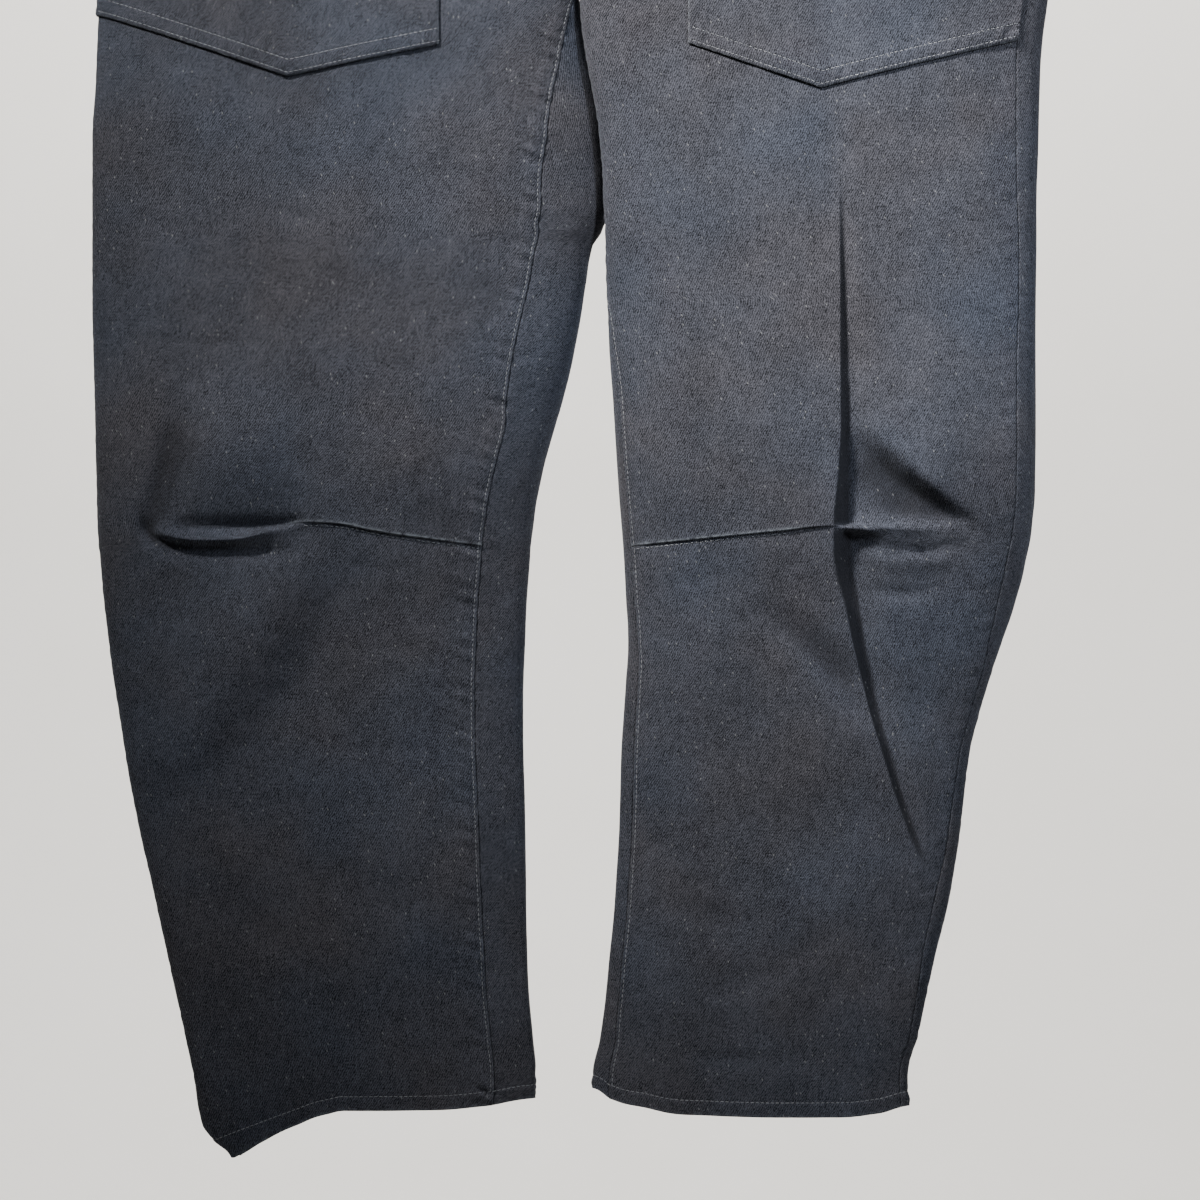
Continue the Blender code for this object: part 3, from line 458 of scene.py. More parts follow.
HUE_SCALE = 8.0
HUE_RANGE = (0.36, 0.64)
SPECK_SCALE = (420.0, 190.0, 1.0)
SPECK_TURN = 0.4
SPECK_SIZES = (0.06, 0.2)
SPECKS_LEFT_OUT = 0.8
FIBRE_AMOUNT = 0.6
RUB_SCALE = 260.0
RUB_RANGE = (0.36, 0.62)
RUB_AMOUNT = 0.8
CLOTH_ROUGHNESS = (0.95, 0.82)
CLOTH_SHADER = {
    "Roughness": 0.88, "Specular IOR Level": 0.14, "Sheen Weight": 0.06, "Sheen Roughness": 0.5,
    "Sheen Tint": (0.72, 0.78, 0.9, 1.0),
}

# Hard finishes: dark and pale colour, roughness, scale and stretch of the grain, and constants
FINISHES = {
    "charcoal_thread": ((0.095, 0.102, 0.115, 1.0), (0.195, 0.203, 0.218, 1.0), (0.6, 0.75), 900.0,
                        (1.0, 1.0, 1.0), {"Sheen Weight": 0.3}),
    "dark_horn": ((0.022, 0.017, 0.014, 1.0), (0.075, 0.058, 0.046, 1.0), (0.22, 0.34), 240.0,
                  (1.0, 1.0, 2.4), {}),
    "black_plastic": ((0.016, 0.016, 0.017, 1.0), (0.03, 0.03, 0.031, 1.0), (0.36, 0.5), 1500.0,
                      (1.0, 1.0, 1.0), {}),
    "polished_steel": ((0.55, 0.55, 0.56, 1.0), (0.66, 0.66, 0.66, 1.0), (0.14, 0.24), 320.0,
                       (0.3, 3.0, 3.0), {"Metallic": 1.0}),
    "pale_backdrop": ((0.80, 0.785, 0.755, 1.0), (0.83, 0.82, 0.80, 1.0), (0.85, 0.9), 6.0,
                      (1.0, 1.0, 1.0), {}),
}
NODE_FINISHES = {
    "waist_button": "dark_horn", "hanger_clip_right": "black_plastic",
    "hanger_clip_left": "black_plastic", "hanger_bar": "polished_steel",
    "hanger_hook": "polished_steel",
}
FINISH_RANGE = (0.3, 0.7)
FINISH_RELIEF = (0.4, 0.00004)
CLOUD_SIZE = 14.0

# Floor and backdrop, in metres
STAGE_REACH = 6.0
STAGE_WIDTH = 7.0
STAGE_FLOOR = -1.75
STAGE_BACK = 4.0
STAGE_BEND = 1.2
STAGE_TOP = 4.0
STAGE_STEPS = 16

# Lights: name, place, point looked at, size, spread in degrees, power in watts, and colour
LIGHTS = (
    ("key", (-1.45, -1.5, 1.75), (0.26, 0.0, -0.37), (0.4, 0.4), 23.0, 9.0, (1.0, 0.965, 0.92)),
    ("knee", (-1.45, -1.5, 1.75), (-0.21, 0.0, -0.67), (0.4, 0.4), 12.0, 0.5, (1.0, 0.97, 0.93)),
    ("fill", (1.9, -1.9, 0.6), (0.30, 0.0, -0.48), (0.6, 0.6), 22.0, 2.2, (0.88, 0.93, 1.0)),
    ("back", (0.6, 2.0, 0.6), (0.0, 0.0, -0.6), (1.2, 1.2), 180.0, 12.0, (1.0, 0.98, 0.95)),
    ("wall", (0.0, 1.6, 1.6), (0.0, 4.0, -0.6), (3.0, 1.0), 180.0, 240.0, (1.0, 0.98, 0.95)),
)
WORLD_COLOUR = (0.93, 0.93, 0.92, 1.0)
WORLD_STRENGTH = 0.08

# Camera: middle of the photo on the garment, distance and width of view there
CAMERA_X = 0.0132
CAMERA_Z = -0.7508
CAMERA_DISTANCE = 2.6
CLOTH_PLANE_Y = -0.014
VIEW_WIDTH = 0.72
SENSOR = 36.0


def column(table, names, name, at):
    """Smooth value of one column of a table, read at the first column's value."""
    rows = np.array(table, dtype=float)
    keys = rows[:, 0]
    values = rows[:, names.index(name)]
    slopes = np.zeros_like(values)
    steps = np.diff(keys)
    rises = np.diff(values) / steps
    same_way = rises[:-1] * rises[1:] > 0
    weights = (steps[1:] + 2 * steps[:-1], 2 * steps[1:] + steps[:-1])
    with np.errstate(divide="ignore", invalid="ignore"):
        mean = (weights[0] + weights[1]) / (weights[0] / rises[:-1] + weights[1] / rises[1:])
    slopes[1:-1] = np.where(same_way, mean, 0.0)
    at = np.clip(np.asarray(at, dtype=float), keys[0], keys[-1])
    cell = np.clip(np.searchsorted(keys, at, side="right") - 1, 0, len(keys) - 2)
    share = (at - keys[cell]) / steps[cell]
    left = values[cell] + slopes[cell] * steps[cell] * share
    right = values[cell + 1] - slopes[cell + 1] * steps[cell] * (1 - share)
    blend = share * share * (3 - 2 * share)
    return left * (1 - blend) + right * blend


def soft_step(value, start, end):
    share = np.clip((value - start) / (end - start), 0.0, 1.0)
    return share * share * (3 - 2 * share)


def bump(distance, reach):
    """Round hump that is 1 in the middle and 0 from its reach on."""
    share = np.clip(np.abs(distance) / reach, 0.0, 1.0)
    return 0.5 + 0.5 * np.cos(math.pi * share)


def unevenness(own, drop, seed, size):
    """Smooth random relief of about one height unit, with humps of one size."""
    draw = np.random.default_rng(seed)
    total = np.zeros_like(own)
    for _ in range(UNEVEN_WAVES):
        angle = draw.uniform(0, math.pi)
        length = size * draw.uniform(*HUMP_SIZES)
        phase = draw.uniform(0, 2 * math.pi)
        along = own * math.cos(angle) + drop * math.sin(angle)
        total += np.sin(2 * math.pi * along / length + phase)
    return total / math.sqrt(UNEVEN_WAVES)


def ripple(along, spacing, seed):
    """Uneven row of small humps along a seam."""
    draw = np.random.default_rng(seed)
    total = np.zeros_like(along)
    for factor, weight in RIPPLE_WAVES:
        phase = draw.uniform(0, 2 * math.pi)
        total += weight * np.sin(2 * math.pi * along * factor / spacing + phase)
    return total


def hump(value, middle, reach):
    """Round hump with long tails that is 1 in the middle."""
    return np.exp(-((value - middle) / reach) ** 2)


def puckers(kind, away, along, seed):
    """Row of puckers beside a seam: away is measured from the seam, and along follows it."""
    height, middle, reach, lean, spacing = PUCKERS[kind]
    return height * hump(away, middle, reach) * ripple(along + lean * away, spacing, seed)


def dart_distance(leg, own, drop):
    """How far below the line of a leg's knee dart a point lies."""
    return drop - column(DART[leg], DART_COLUMNS, "drop", own)


def swell_height(swells, own, drop):
    """Sum of the broad swellings' heights."""
    total = np.zeros_like(own)
    for at_own, at_drop, height, across, down in swells:
        squared = ((own - at_own) / across) ** 2 + ((drop - at_drop) / down) ** 2
        total += height * np.exp(-squared)
    return total


def crease_height(creases, own, drop):
    """Sum of the creases' heights. Each follows its path, and each side has its own reach."""
    total = np.zeros_like(own)
    for kind, rows in creases:
        stops = np.linspace(0, 1, len(rows))
        table = [(stop, *row) for stop, row in zip(stops, rows)]
        names = ("stop", "own", "drop", "height", "left", "right")
        steps = np.linspace(0, 1, PATH_STEPS)
        path = {name: column(table, names, name, steps) for name in names[1:]}
        furthest = max(path["left"].max(), path["right"].max())
        near = (
            (own > path["own"].min() - furthest) & (own < path["own"].max() + furthest)
            & (drop > path["drop"].min() - furthest) & (drop < path["drop"].max() + furthest)
        )
        if not near.any():
            continue
        at_own, at_drop = own[near], drop[near]
        starts = np.stack([path["own"][:-1], path["drop"][:-1]])
        runs = np.stack([np.diff(path["own"]), np.diff(path["drop"])])
        lengths = (runs ** 2).sum(axis=0)
        from_start = np.stack([at_own, at_drop])[:, :, None] - starts[:, None, :]
        share = np.clip((from_start * runs[:, None, :]).sum(axis=0) / lengths, 0.0, 1.0)
        gap = from_start - share[None] * runs[:, None, :]
        squared = (gap ** 2).sum(axis=0)
        best = squared.argmin(axis=1)
        rank = np.arange(len(best))
        along = (best + share[rank, best]) / (PATH_STEPS - 1)
        away = np.sqrt(squared[rank, best])
        turn = runs[0][best] * from_start[1][rank, best] - runs[1][best] * from_start[0][rank, best]
        reach = np.where(
            turn < 0,
            column(table, names, "left", along),
            column(table, names, "right", along),
        )
        height = column(table, names, "height", along)
        left = 1 - np.clip(away / reach, 0.0, 1.0)
        profile = left ** SHARP_POWER if kind == "sharp" else left * left * (3 - 2 * left)
        total[near] += height * profile
    return total


def long_fold_at(own, drop):
    """Sizes of the long fold at a drop, distance from its edge, and the dart's bridge."""
    at = {name: column(LONG_FOLD, FOLD_COLUMNS, name, drop) for name in FOLD_COLUMNS[1:]}
    bridge = bump(dart_distance(FRONT_LEG, own, drop) - BRIDGE_MIDDLE, BRIDGE_REACH)
    return at, own - at["own"], bridge


def long_fold_height(own, drop):
    """Sharp fold down the left front: a crest, a wall that dives behind it, and a slow rise."""
    at, away, bridge = long_fold_at(own, drop)
    wall = np.sin(0.5 * math.pi * np.clip(away / at["wall"], 0.0, 1.0))
    rise = 1 - soft_step(away, at["wall"], at["wall"] + at["rise"])
    behind = -at["depth"] * wall * rise * (1 - DART_BRIDGE * bridge)
    crest = at["crest"] * np.clip(1 + away / FOLD_BEFORE, 0.0, 1.0) ** CREST_POWER
    after = at["crest"] * np.clip(1 - away / at["wall"], 0.0, 1.0)
    return behind + np.where(away < 0, crest, after)


def long_fold_painted_shade(own, drop):
    """Share of painted shade on the sunk wall behind the long fold's edge: 1 on the wall and 0
    beside it.
    """
    at, away, bridge = long_fold_at(own, drop)
    ends = soft_step(away, at["wall"], at["wall"] + WALL_FADES)
    beside = soft_step(away, -WALL_STARTS, WALL_STARTS) * (1 - ends)
    return beside * (1 - bridge) * np.clip(at["depth"] / WALL_FULL_DEPTH, 0.0, 1.0)


def dart_height(leg, own, drop):
    """Lip of the knee dart above its line and the pressed step below it."""
    away = dart_distance(leg, own, drop)
    strength = 1 - soft_step(own - DART_TIP[leg], *DART_FADE)
    strength = strength * (np.abs(away) < DART_REACH)
    lip = DART_LIP[0] * np.exp(np.minimum(away, 0.0) / DART_LIP[1]) * (away <= 0)
    step = -DART_STEP[0] * np.exp(-np.maximum(away, 0.0) / DART_STEP[1]) * (away > 0)
    return strength * (lip + step)


def clip_pinch(own, drop):
    """Share of the depth that the clips take away near the waist."""
    near = np.exp(-((own - CLIP_OWN) / PINCH_WIDTH) ** 4)
    return PINCH * near * (1 - soft_step(drop, WAIST_SEAM, PINCH_FADES_AT))


def relief(leg, facing, own, drop):
    """Height of every fold and swelling of one panel."""
    key = (leg, facing)
    seed = 10 * LEGS.index(leg) + facing
    total = crease_height(CREASES[key], own, drop) + swell_height(SWELLS[key], own, drop)
    calm = soft_step(drop, WAIST_SEAM, WAIST_SEAM + CALM_REACH)
    for height, layer_seed, size, calmed in UNEVEN_LAYERS:
        share = calm if calmed else 1.0
        total += height * share * unevenness(own, drop, layer_seed + seed, size)
    if facing == FRONT:
        total += dart_height(leg, own, drop)
        if leg == FRONT_LEG:
            total += long_fold_height(own, drop)
    return total


def leg_folds(leg, drop):
    """Own distances of a leg's outer and inner fold at this drop."""
    return [column(OUTLINE[leg], OUTLINE_COLUMNS, name, drop) for name in ("outer", "inner")]


def rounded(value):
    """A sine or cosine bent so that the section gets fuller edges than an ellipse."""
    return np.sign(value) * np.abs(value) ** (2 / EDGE_POWER)


def own_at(leg, turn, drop):
    """Own distance of a turn of the section at this drop."""
    outer, inner = leg_folds(leg, drop)
    return inner + (outer - inner) / 2 * (1 - rounded(np.cos(turn)))


def section_point(leg, turn, drop, facing):
    """Point of the leg's outside, in millimetres, and its own distance. turn runs from 0 at
    the inner fold, over the front, to pi at the outer fold, and on over the back."""
    turn = np.asarray(turn, dtype=float)
    drop = np.asarray(drop, dtype=float) + np.zeros_like(turn)
    inner = leg_folds(leg, drop)[1]
    own = own_at(leg, turn, drop)
    sine = np.sin(turn)
    on_front = np.where(np.abs(sine) < 1e-9, facing > 0, sine > 0)
    fullness = rounded(np.abs(sine))
    opening, front, back = (column(DEPTH, DEPTH_COLUMNS, name, drop)
                            for name in ("open", "front", "back"))
    fullness = np.where(np.cos(turn) > 0, opening + (1 - opening) * fullness, fullness)
    depth = np.where(on_front, front, back) * (1 - clip_pinch(own, drop))
    for side, there in ((FRONT, on_front), (BACK, ~on_front)):
        if there.any():
            depth[there] += relief(leg, side, own[there], drop[there])
    apart = column(CROSSING, CROSSING_COLUMNS, "apart", drop)
    apart = -apart if leg == FRONT_LEG else apart
    shift = apart * np.clip(1 - (own - inner) / CROSSING_REACH, 0.0, 1.0) ** 2
    y = shift + np.where(on_front, -1.0, 1.0) * depth * fullness
    x = SIDE[leg] * (own + SEAM_PLAY)
    return np.stack([x, y, CROTCH_Z / MM - drop], axis=-1), own


def seam_turn(leg, drop, which):
    """Turn at which the inseam or outseam lies on the section at this drop."""
    outer, inner = leg_folds(leg, drop)
    half = (outer - inner) / 2
    offset = float(column(SEAMS[leg], SEAM_COLUMNS, which, drop))
    from_fold = math.acos((1 - abs(offset) / half) ** (EDGE_POWER / 2))
    from_fold = math.copysign(from_fold, offset)
    return from_fold if which == "inseam" else math.pi - from_fold


def warped_drop(leg, facing, turn, row_drop):
    """Drop of the points of a row: rows run along the dart at the knee and along the hem."""
    drop = np.full_like(turn, row_drop)
    if facing == FRONT:
        line = column(DART[leg], DART_COLUMNS, "drop", own_at(leg, turn, row_drop))
        drop += (line - DART_BASE) * bump(row_drop - DART_BASE, DART_BLEND)
    if row_drop > HEM_BLEND_FROM:
        share = 0.5 - 0.5 * rounded(np.cos(turn))
        hem = column(HEM[leg], HEM_COLUMNS, "drop", share)
        along = (row_drop - HEM_BLEND_FROM) / (HEM_DROP - HEM_BLEND_FROM)
        drop = HEM_BLEND_FROM + along * (hem - HEM_BLEND_FROM)
    return drop


def row_list(facing):
    """Drops of a panel's rows, closer together at the knee dart and the hem."""
    step = ROW_STEP if facing == FRONT else BACK_ROW_STEP
    top = WAIST_SEAM + TOP_GAP
    hem = [HEM_DROP - up for up in HEM_ROWS_UP]
    dart = [DART_BASE + away for away in DART_ROWS] if facing == FRONT else []
    fixed = [top + down for down in TOP_ROWS] + dart + hem + [HEM_DROP]
    plain = np.arange(top + step, hem[0] - step / 2, step)
    clear = [drop for drop in plain if min(abs(drop - other) for other in fixed) > step / 2]
    return sorted(clear + fixed)


def seam_distances(facing, cloth):
    """Distances of a panel's points from its inseam and from its outseam."""
    found = cloth["from_first"], cloth["to_last"]
    return found if facing == FRONT else found[::-1]


def column_marks(leg, facing, row_drop, fine, length):
    """Positions of a row's columns, as lengths of cloth from its first seam."""
    total = length[-1]
    edges = np.array(EDGE_MARKS)
    count = FRONT_COLUMNS if facing == FRONT else BACK_COLUMNS
    first, last = edges[-1], total - edges[-1]
    if leg == FRONT_LEG and facing == FRONT:
        own = own_at(leg, fine, row_drop)
        furthest = float(np.interp(last, length, own)) - FOLD_ROOM
        line = min(float(column(FOLD_LINE, FOLD_LINE_COLUMNS, "own", row_drop)), furthest)
        offsets = np.array(FOLD_OFFSETS, dtype=float)
        room = furthest + FOLD_ROOM / 2 - line
        offsets[offsets > 0] *= min(1.0, room / FOLD_OFFSETS[-1])
        at_fold = np.interp(line + offsets, own, length)
        plain = count - len(at_fold)
        before = int(plain * FOLD_SHARE)
        start = np.linspace(first, at_fold[0], before + 1)[:-1]
        end = np.linspace(at_fold[-1], last, plain - before + 1)[1:]
        middle = np.concatenate([start, at_fold, end])
    else:
        middle = np.linspace(first, last, count)
    return np.concatenate([edges[:-1], middle, (total - edges[:-1])[::-1]])


def panel_cloth(leg, facing):
    """Outside of one panel: points, outward directions, and where each point lies on it."""
    rows = {"points": [], "outward": [], "from_first": [], "to_last": [], "own": [], "drop": []}
    for row_drop in row_list(facing):
        seam_drop = min(row_drop, HEM_DROP)
        inseam = seam_turn(leg, seam_drop, "inseam")
        outseam = seam_turn(leg, seam_drop, "outseam")
        start, end = (inseam, outseam) if facing == FRONT else (outseam, 2 * math.pi + inseam)
        fine = np.linspace(start, end, FINE_STEPS)
        drops = warped_drop(leg, facing, fine, row_drop)
        points, own = section_point(leg, fine, drops, facing)
        steps = np.linalg.norm(np.diff(points, axis=0), axis=1)
        length = np.concatenate([[0.0], np.cumsum(steps)])
        marks = column_marks(leg, facing, row_drop, fine, length)
        along = np.gradient(points[:, :2], length, axis=0)
        outward = np.stack([along[:, 1], -along[:, 0]], axis=-1) * SIDE[leg]
        outward /= np.linalg.norm(outward, axis=1)[:, None]
        outward = np.stack([np.interp(marks, length, outward[:, axis]) for axis in (0, 1)], axis=-1)
        outward /= np.linalg.norm(outward, axis=1)[:, None]
        rows["points"].append(np.stack([np.interp(marks, length, points[:, axis])
                                        for axis in range(3)], axis=-1))
        rows["outward"].append(np.concatenate([outward, np.zeros((len(marks), 1))], axis=1))
        rows["from_first"].append(marks)
        rows["to_last"].append(length[-1] - marks)
        rows["own"].append(np.interp(marks, length, own))
        rows["drop"].append(np.interp(marks, length, drops))
    cloth = {name: np.array(value) for name, value in rows.items()}
    cloth["row"] = np.array(row_list(facing))[:, None] + np.zeros_like(cloth["own"])
    return cloth


def sewn_relief(leg, facing, cloth):
    """Ridges, grooves and puckers that the sewing leaves along inseam, outseam and hem."""
    inseam, outseam = seam_distances(facing, cloth)
    drop, across = cloth["drop"], cloth["from_first"]
    seed = SEWN_SEED + 10 * LEGS.index(leg) + facing
    below = soft_step(drop, *INSEAM_FADE)
    height = np.zeros_like(drop)
    if facing == FRONT:
        ridge, ends, gone = SEAM_RIDGE
        depth, at, reach = SEAM_GROOVE
        height += below * ridge * (1 - soft_step(inseam, ends, gone))
        height -= below * depth * bump(inseam - at, reach)
        height += below * puckers(f"inseam_front_{leg}", inseam, drop, seed)
    else:
        height += below * puckers(f"inseam_back_{leg}", inseam, drop, seed + 1)
    height += puckers(f"outseam_{leg}", outseam, drop, seed + 2)
    up = HEM_DROP - cloth["row"]
    on_hem = 1 - soft_step(up - HEM_HEIGHT, *HEM_EDGE)
    height += HEM_RIDGE * on_hem - HEM_GROOVE[0] * bump(up - HEM_HEIGHT, HEM_GROOVE[1])
    roping, middle, reach, lean, spacing = HEM_ROPING
    row = ripple(across + lean * up, spacing, seed + 3)
    height += roping * on_hem * bump(up - middle, reach) * row
    height += puckers("above_hem", up, across, seed + 4)
    return height


def wear_and_shade_of(leg, facing, cloth):
    """How far the dye has rubbed off along seam edges, the dart's lip and the hem's edge. Minus
    values on a front are painted shade: darker colour laid into its deep creases and onto the long
    fold's wall, where shade falls."""
    inseam, outseam = seam_distances(facing, cloth)
    own, drop = cloth["own"], cloth["drop"]
    at_inseam = RUBBED["inseam"] if facing == FRONT else 0.0
    wear_and_shade = at_inseam * hump(inseam, 0.0, RUB_REACH) * soft_step(drop, *RUB_STARTS)
    wear_and_shade = np.maximum(wear_and_shade, RUBBED["outseam"] * hump(outseam, 0.0, RUB_REACH))
    wear_and_shade = np.maximum(wear_and_shade, RUBBED["hem"] * hump(HEM_DROP - cloth["row"], 0.0, RUB_REACH))
    if facing == BACK:
        return wear_and_shade
    sewn = 1 - soft_step(own - DART_SEWN_TO[leg], *LIP_FADE)
    wear_and_shade = np.maximum(wear_and_shade, sewn * hump(dart_distance(leg, own, drop), *LIP_RUBBED))
    # Painted shade: the deep creases and the long fold's wall are darkened where shade falls
    hollow = crease_height(CREASES[leg, facing], own, drop)
    painted_shade = HOLLOW_SHADE_SHARE * soft_step(-hollow, *HOLLOW_SHADE_DEPTHS)
    if leg == FRONT_LEG:
        painted_shade = np.maximum(painted_shade, long_fold_painted_shade(own, drop))
    painted_shade *= CREASE_SHADE_STRENGTH
    return np.where(wear_and_shade > painted_shade, wear_and_shade, -painted_shade)


def linked(name, data):
    """New object at the origin in the scene."""
    obj = bpy.data.objects.new(name, data)
    bpy.context.scene.collection.objects.link(obj)
    return obj


def shell_mesh(name, points, lie, wear_and_shade, flipped):
    """Mesh of quads through a grid of points, with its cloth map and its wear, whose minus values
    are painted crease shade.
    """
    rows, columns = points.shape[:2]
    corner = np.arange((rows - 1) * columns).reshape(rows - 1, columns)[:, :-1].ravel()
    faces = np.stack([corner, corner + 1, corner + columns + 1, corner + columns], axis=1)
    faces = faces[:, ::-1] if flipped else faces
    mesh = bpy.data.meshes.new(name)
    mesh.from_pydata(points.reshape(-1, 3).tolist(), [], faces.tolist())
    mesh.update()
    layer = mesh.uv_layers.new(name="cloth")
    layer.data.foreach_set("uv", lie.reshape(-1, 2)[faces.ravel()].astype(np.float32).ravel())
    # Rubbed wear, with painted crease shade as its minus values
    worn = mesh.attributes.new("wear_and_shade", "FLOAT", "POINT")
    worn.data.foreach_set("value", wear_and_shade.astype(np.float32).ravel())
    mesh.shade_smooth()
    return mesh


def place(name, mesh, finish):
    obj = linked(name, mesh)
    obj.data.materials.append(finish)
    return obj


def thicken(obj, thickness, outwards=False):
    wall = obj.modifiers.new("wall", "SOLIDIFY")
    wall.thickness = thickness * MM
    wall.offset = 1.0 if outwards else -1.0


def with_turned_edges(cloth, surface, side):
    """Adds the turned-in seam edges, the turned waist edge and the turned-up hem."""
    inward = np.zeros(surface.shape[1])
    inward[:len(EDGE_INWARD)] = EDGE_INWARD
    inward[-len(EDGE_INWARD):] = EDGE_INWARD[::-1]
    turned_in = surface - cloth["outward"] * inward[None, :, None]
    points, outward = (np.pad(grid, ((0, 0), (1, 1), (0, 0)), mode="edge")
                       for grid in (turned_in, cloth["outward"]))
    across, down = (np.pad(cloth[name], ((0, 0), (1, 1)), mode="edge")
                    for name in ("from_first", "drop"))
    for end, step in ((0, -FLANGE), (-1, FLANGE)):
        points[:, end] -= outward[:, end] * (FLANGE - EDGE_INWARD[0])
        across[:, end] += step
    for index, depth in enumerate(WAIST_INWARD):
        points[index] -= outward[index] * depth
    top = points[0] - outward[0] * (FLANGE - WAIST_INWARD[0])
    points = np.concatenate([top[None], points])
    across = np.concatenate([across[:1], across])
    down = np.concatenate([down[:1] - FLANGE, down])
    rows = cloth["row"][:, 0]
    under = []
    for up, depth in HEM_TURN:
        level = np.interp(HEM_DROP - up, rows, np.arange(len(rows)))
        low = int(min(level, len(rows) - 2))
        share = level - low
        base = points[1 + low] * (1 - share) + points[2 + low] * share
        under.append(base - outward[-1] * depth)
    points = np.concatenate([points, np.array(under)])
    turned = np.array([up for up, _ in HEM_TURN])[:, None]
    across = np.concatenate([across, across[-1:] + 0 * turned])
    down = np.concatenate([down, down[-1:] + HEM_FOLD + turned])
    return points, np.stack([across * side, down], axis=-1)


def panel_name(leg, facing):
    return f"{'front' if facing == FRONT else 'back'}_{leg}"


def build_panel(leg, facing, finish):
    """One front or back as a thin shell with turned edges."""
    name = f"{panel_name(leg, facing)}_cloth"
    cloth = panel_cloth(leg, facing)
    height = sewn_relief(leg, facing, cloth)
    surface = cloth["points"] + cloth["outward"] * height[:, :, None]
    points, lie = with_turned_edges(cloth, surface, SIDE[leg])
    wear_and_shade = np.pad(wear_and_shade_of(leg, facing, cloth), ((1, len(HEM_TURN)), (1, 1)), mode="edge")
    wear_and_shade[HEM_WORN_ROWS - len(HEM_TURN):] = 0.0
    mesh = shell_mesh(name, points * MM, lie * MM, wear_and_shade, flipped=SIDE[leg] > 0)
    obj = place(name, mesh, finish)
    thicken(obj, CLOTH)
    cloth["surface"] = surface
    return obj, cloth


def sideways(start, end, keep):
    """Unit direction square to an edge, towards the side of a point."""
    run = np.subtract(end, start, dtype=float)
    across = np.array((run[1], -run[0])) / np.linalg.norm(run)
    return -across if across @ np.subtract(keep, start) < 0 else across


def polygon_cut(bm, start, end, keep, leg, clear=True):
    """Cuts a front's mesh along a straight edge seen from the front, and keeps one side."""
    def seen(point):
        return Vector((SIDE[leg] * point[0] * MM, 0.0, CROTCH_Z - point[1] * MM))
    normal = (seen(end) - seen(start)).cross(Vector((0.0, 1.0, 0.0))).normalized()
    if normal.dot(seen(keep) - seen(start)) > 0:
        normal = -normal
    bmesh.ops.bisect_plane(bm, geom=bm.verts[:] + bm.edges[:] + bm.faces[:],
                           plane_co=seen(start), plane_no=normal, clear_outer=clear, dist=1e-6)


def edge_distance(start, end, own, drop):
    """Distance of points from a straight edge, in millimetres."""
    across = sideways(start, end, start)
    return np.abs((own - start[0]) * across[0] + (drop - start[1]) * across[1])


def patch_grid(bm, leg, cloth, edges):
    """Adds the part of a front's surface round a patch's edges, with its cloth map."""
    side = SIDE[leg]
    points = cloth["surface"] * MM
    lie = np.stack([cloth["from_first"] * side, cloth["drop"]], axis=-1) * MM
    own = points[:, :, 0] * side / MM
    drop = (CROTCH_Z - points[:, :, 2]) / MM
    corners = np.array([corner for edge in edges for corner in edge])
    low = np.maximum(corners.min(axis=0) - PATCH_ROOM, (0, WAIST_SEAM))
    high = corners.max(axis=0) + PATCH_ROOM
    cloth_map = bm.loops.layers.uv.new("cloth")
    rows, columns = own.shape
    verts = {}
    for row in range(rows - 1):
        for col in range(columns - 1):
            at = ((row, col), (row, col + 1), (row + 1, col + 1), (row + 1, col))
            if not all(low[0] <= own[a] <= high[0] and low[1] <= drop[a] <= high[1] for a in at):
                continue
            at = at[::-1] if side > 0 else at
            for a in at:
                if a not in verts:
                    verts[a] = bm.verts.new(points[a])
            face = bm.faces.new([verts[a] for a in at])
            for loop, a in zip(face.loops, at):
                loop[cloth_map].uv = lie[a]


def patch_height(leg, away, own, drop):
    """Height of a patch over its front: folded border, stitch grooves and puckers."""
    seed = PATCH_SEED + LEGS.index(leg)
    fall, starts, ends = PATCH_FALL
    height = PATCH_LIFT + PATCH_BORDER * soft_step(away, *PATCH_RISE)
    height -= fall * soft_step(away, starts, ends)
    for row_in in POCKET_ROWS:
        height -= PATCH_GROOVE[0] * bump(away - row_in, PATCH_GROOVE[1])
    pucker, middle, reach, lean, spacing = PATCH_PUCKERS
    height += pucker * bump(away - middle, reach) * ripple(own + lean * drop, spacing, seed)
    uneven, layer_seed, size = PATCH_UNEVEN
    return height + uneven * unevenness(own, drop, seed + layer_seed, size)


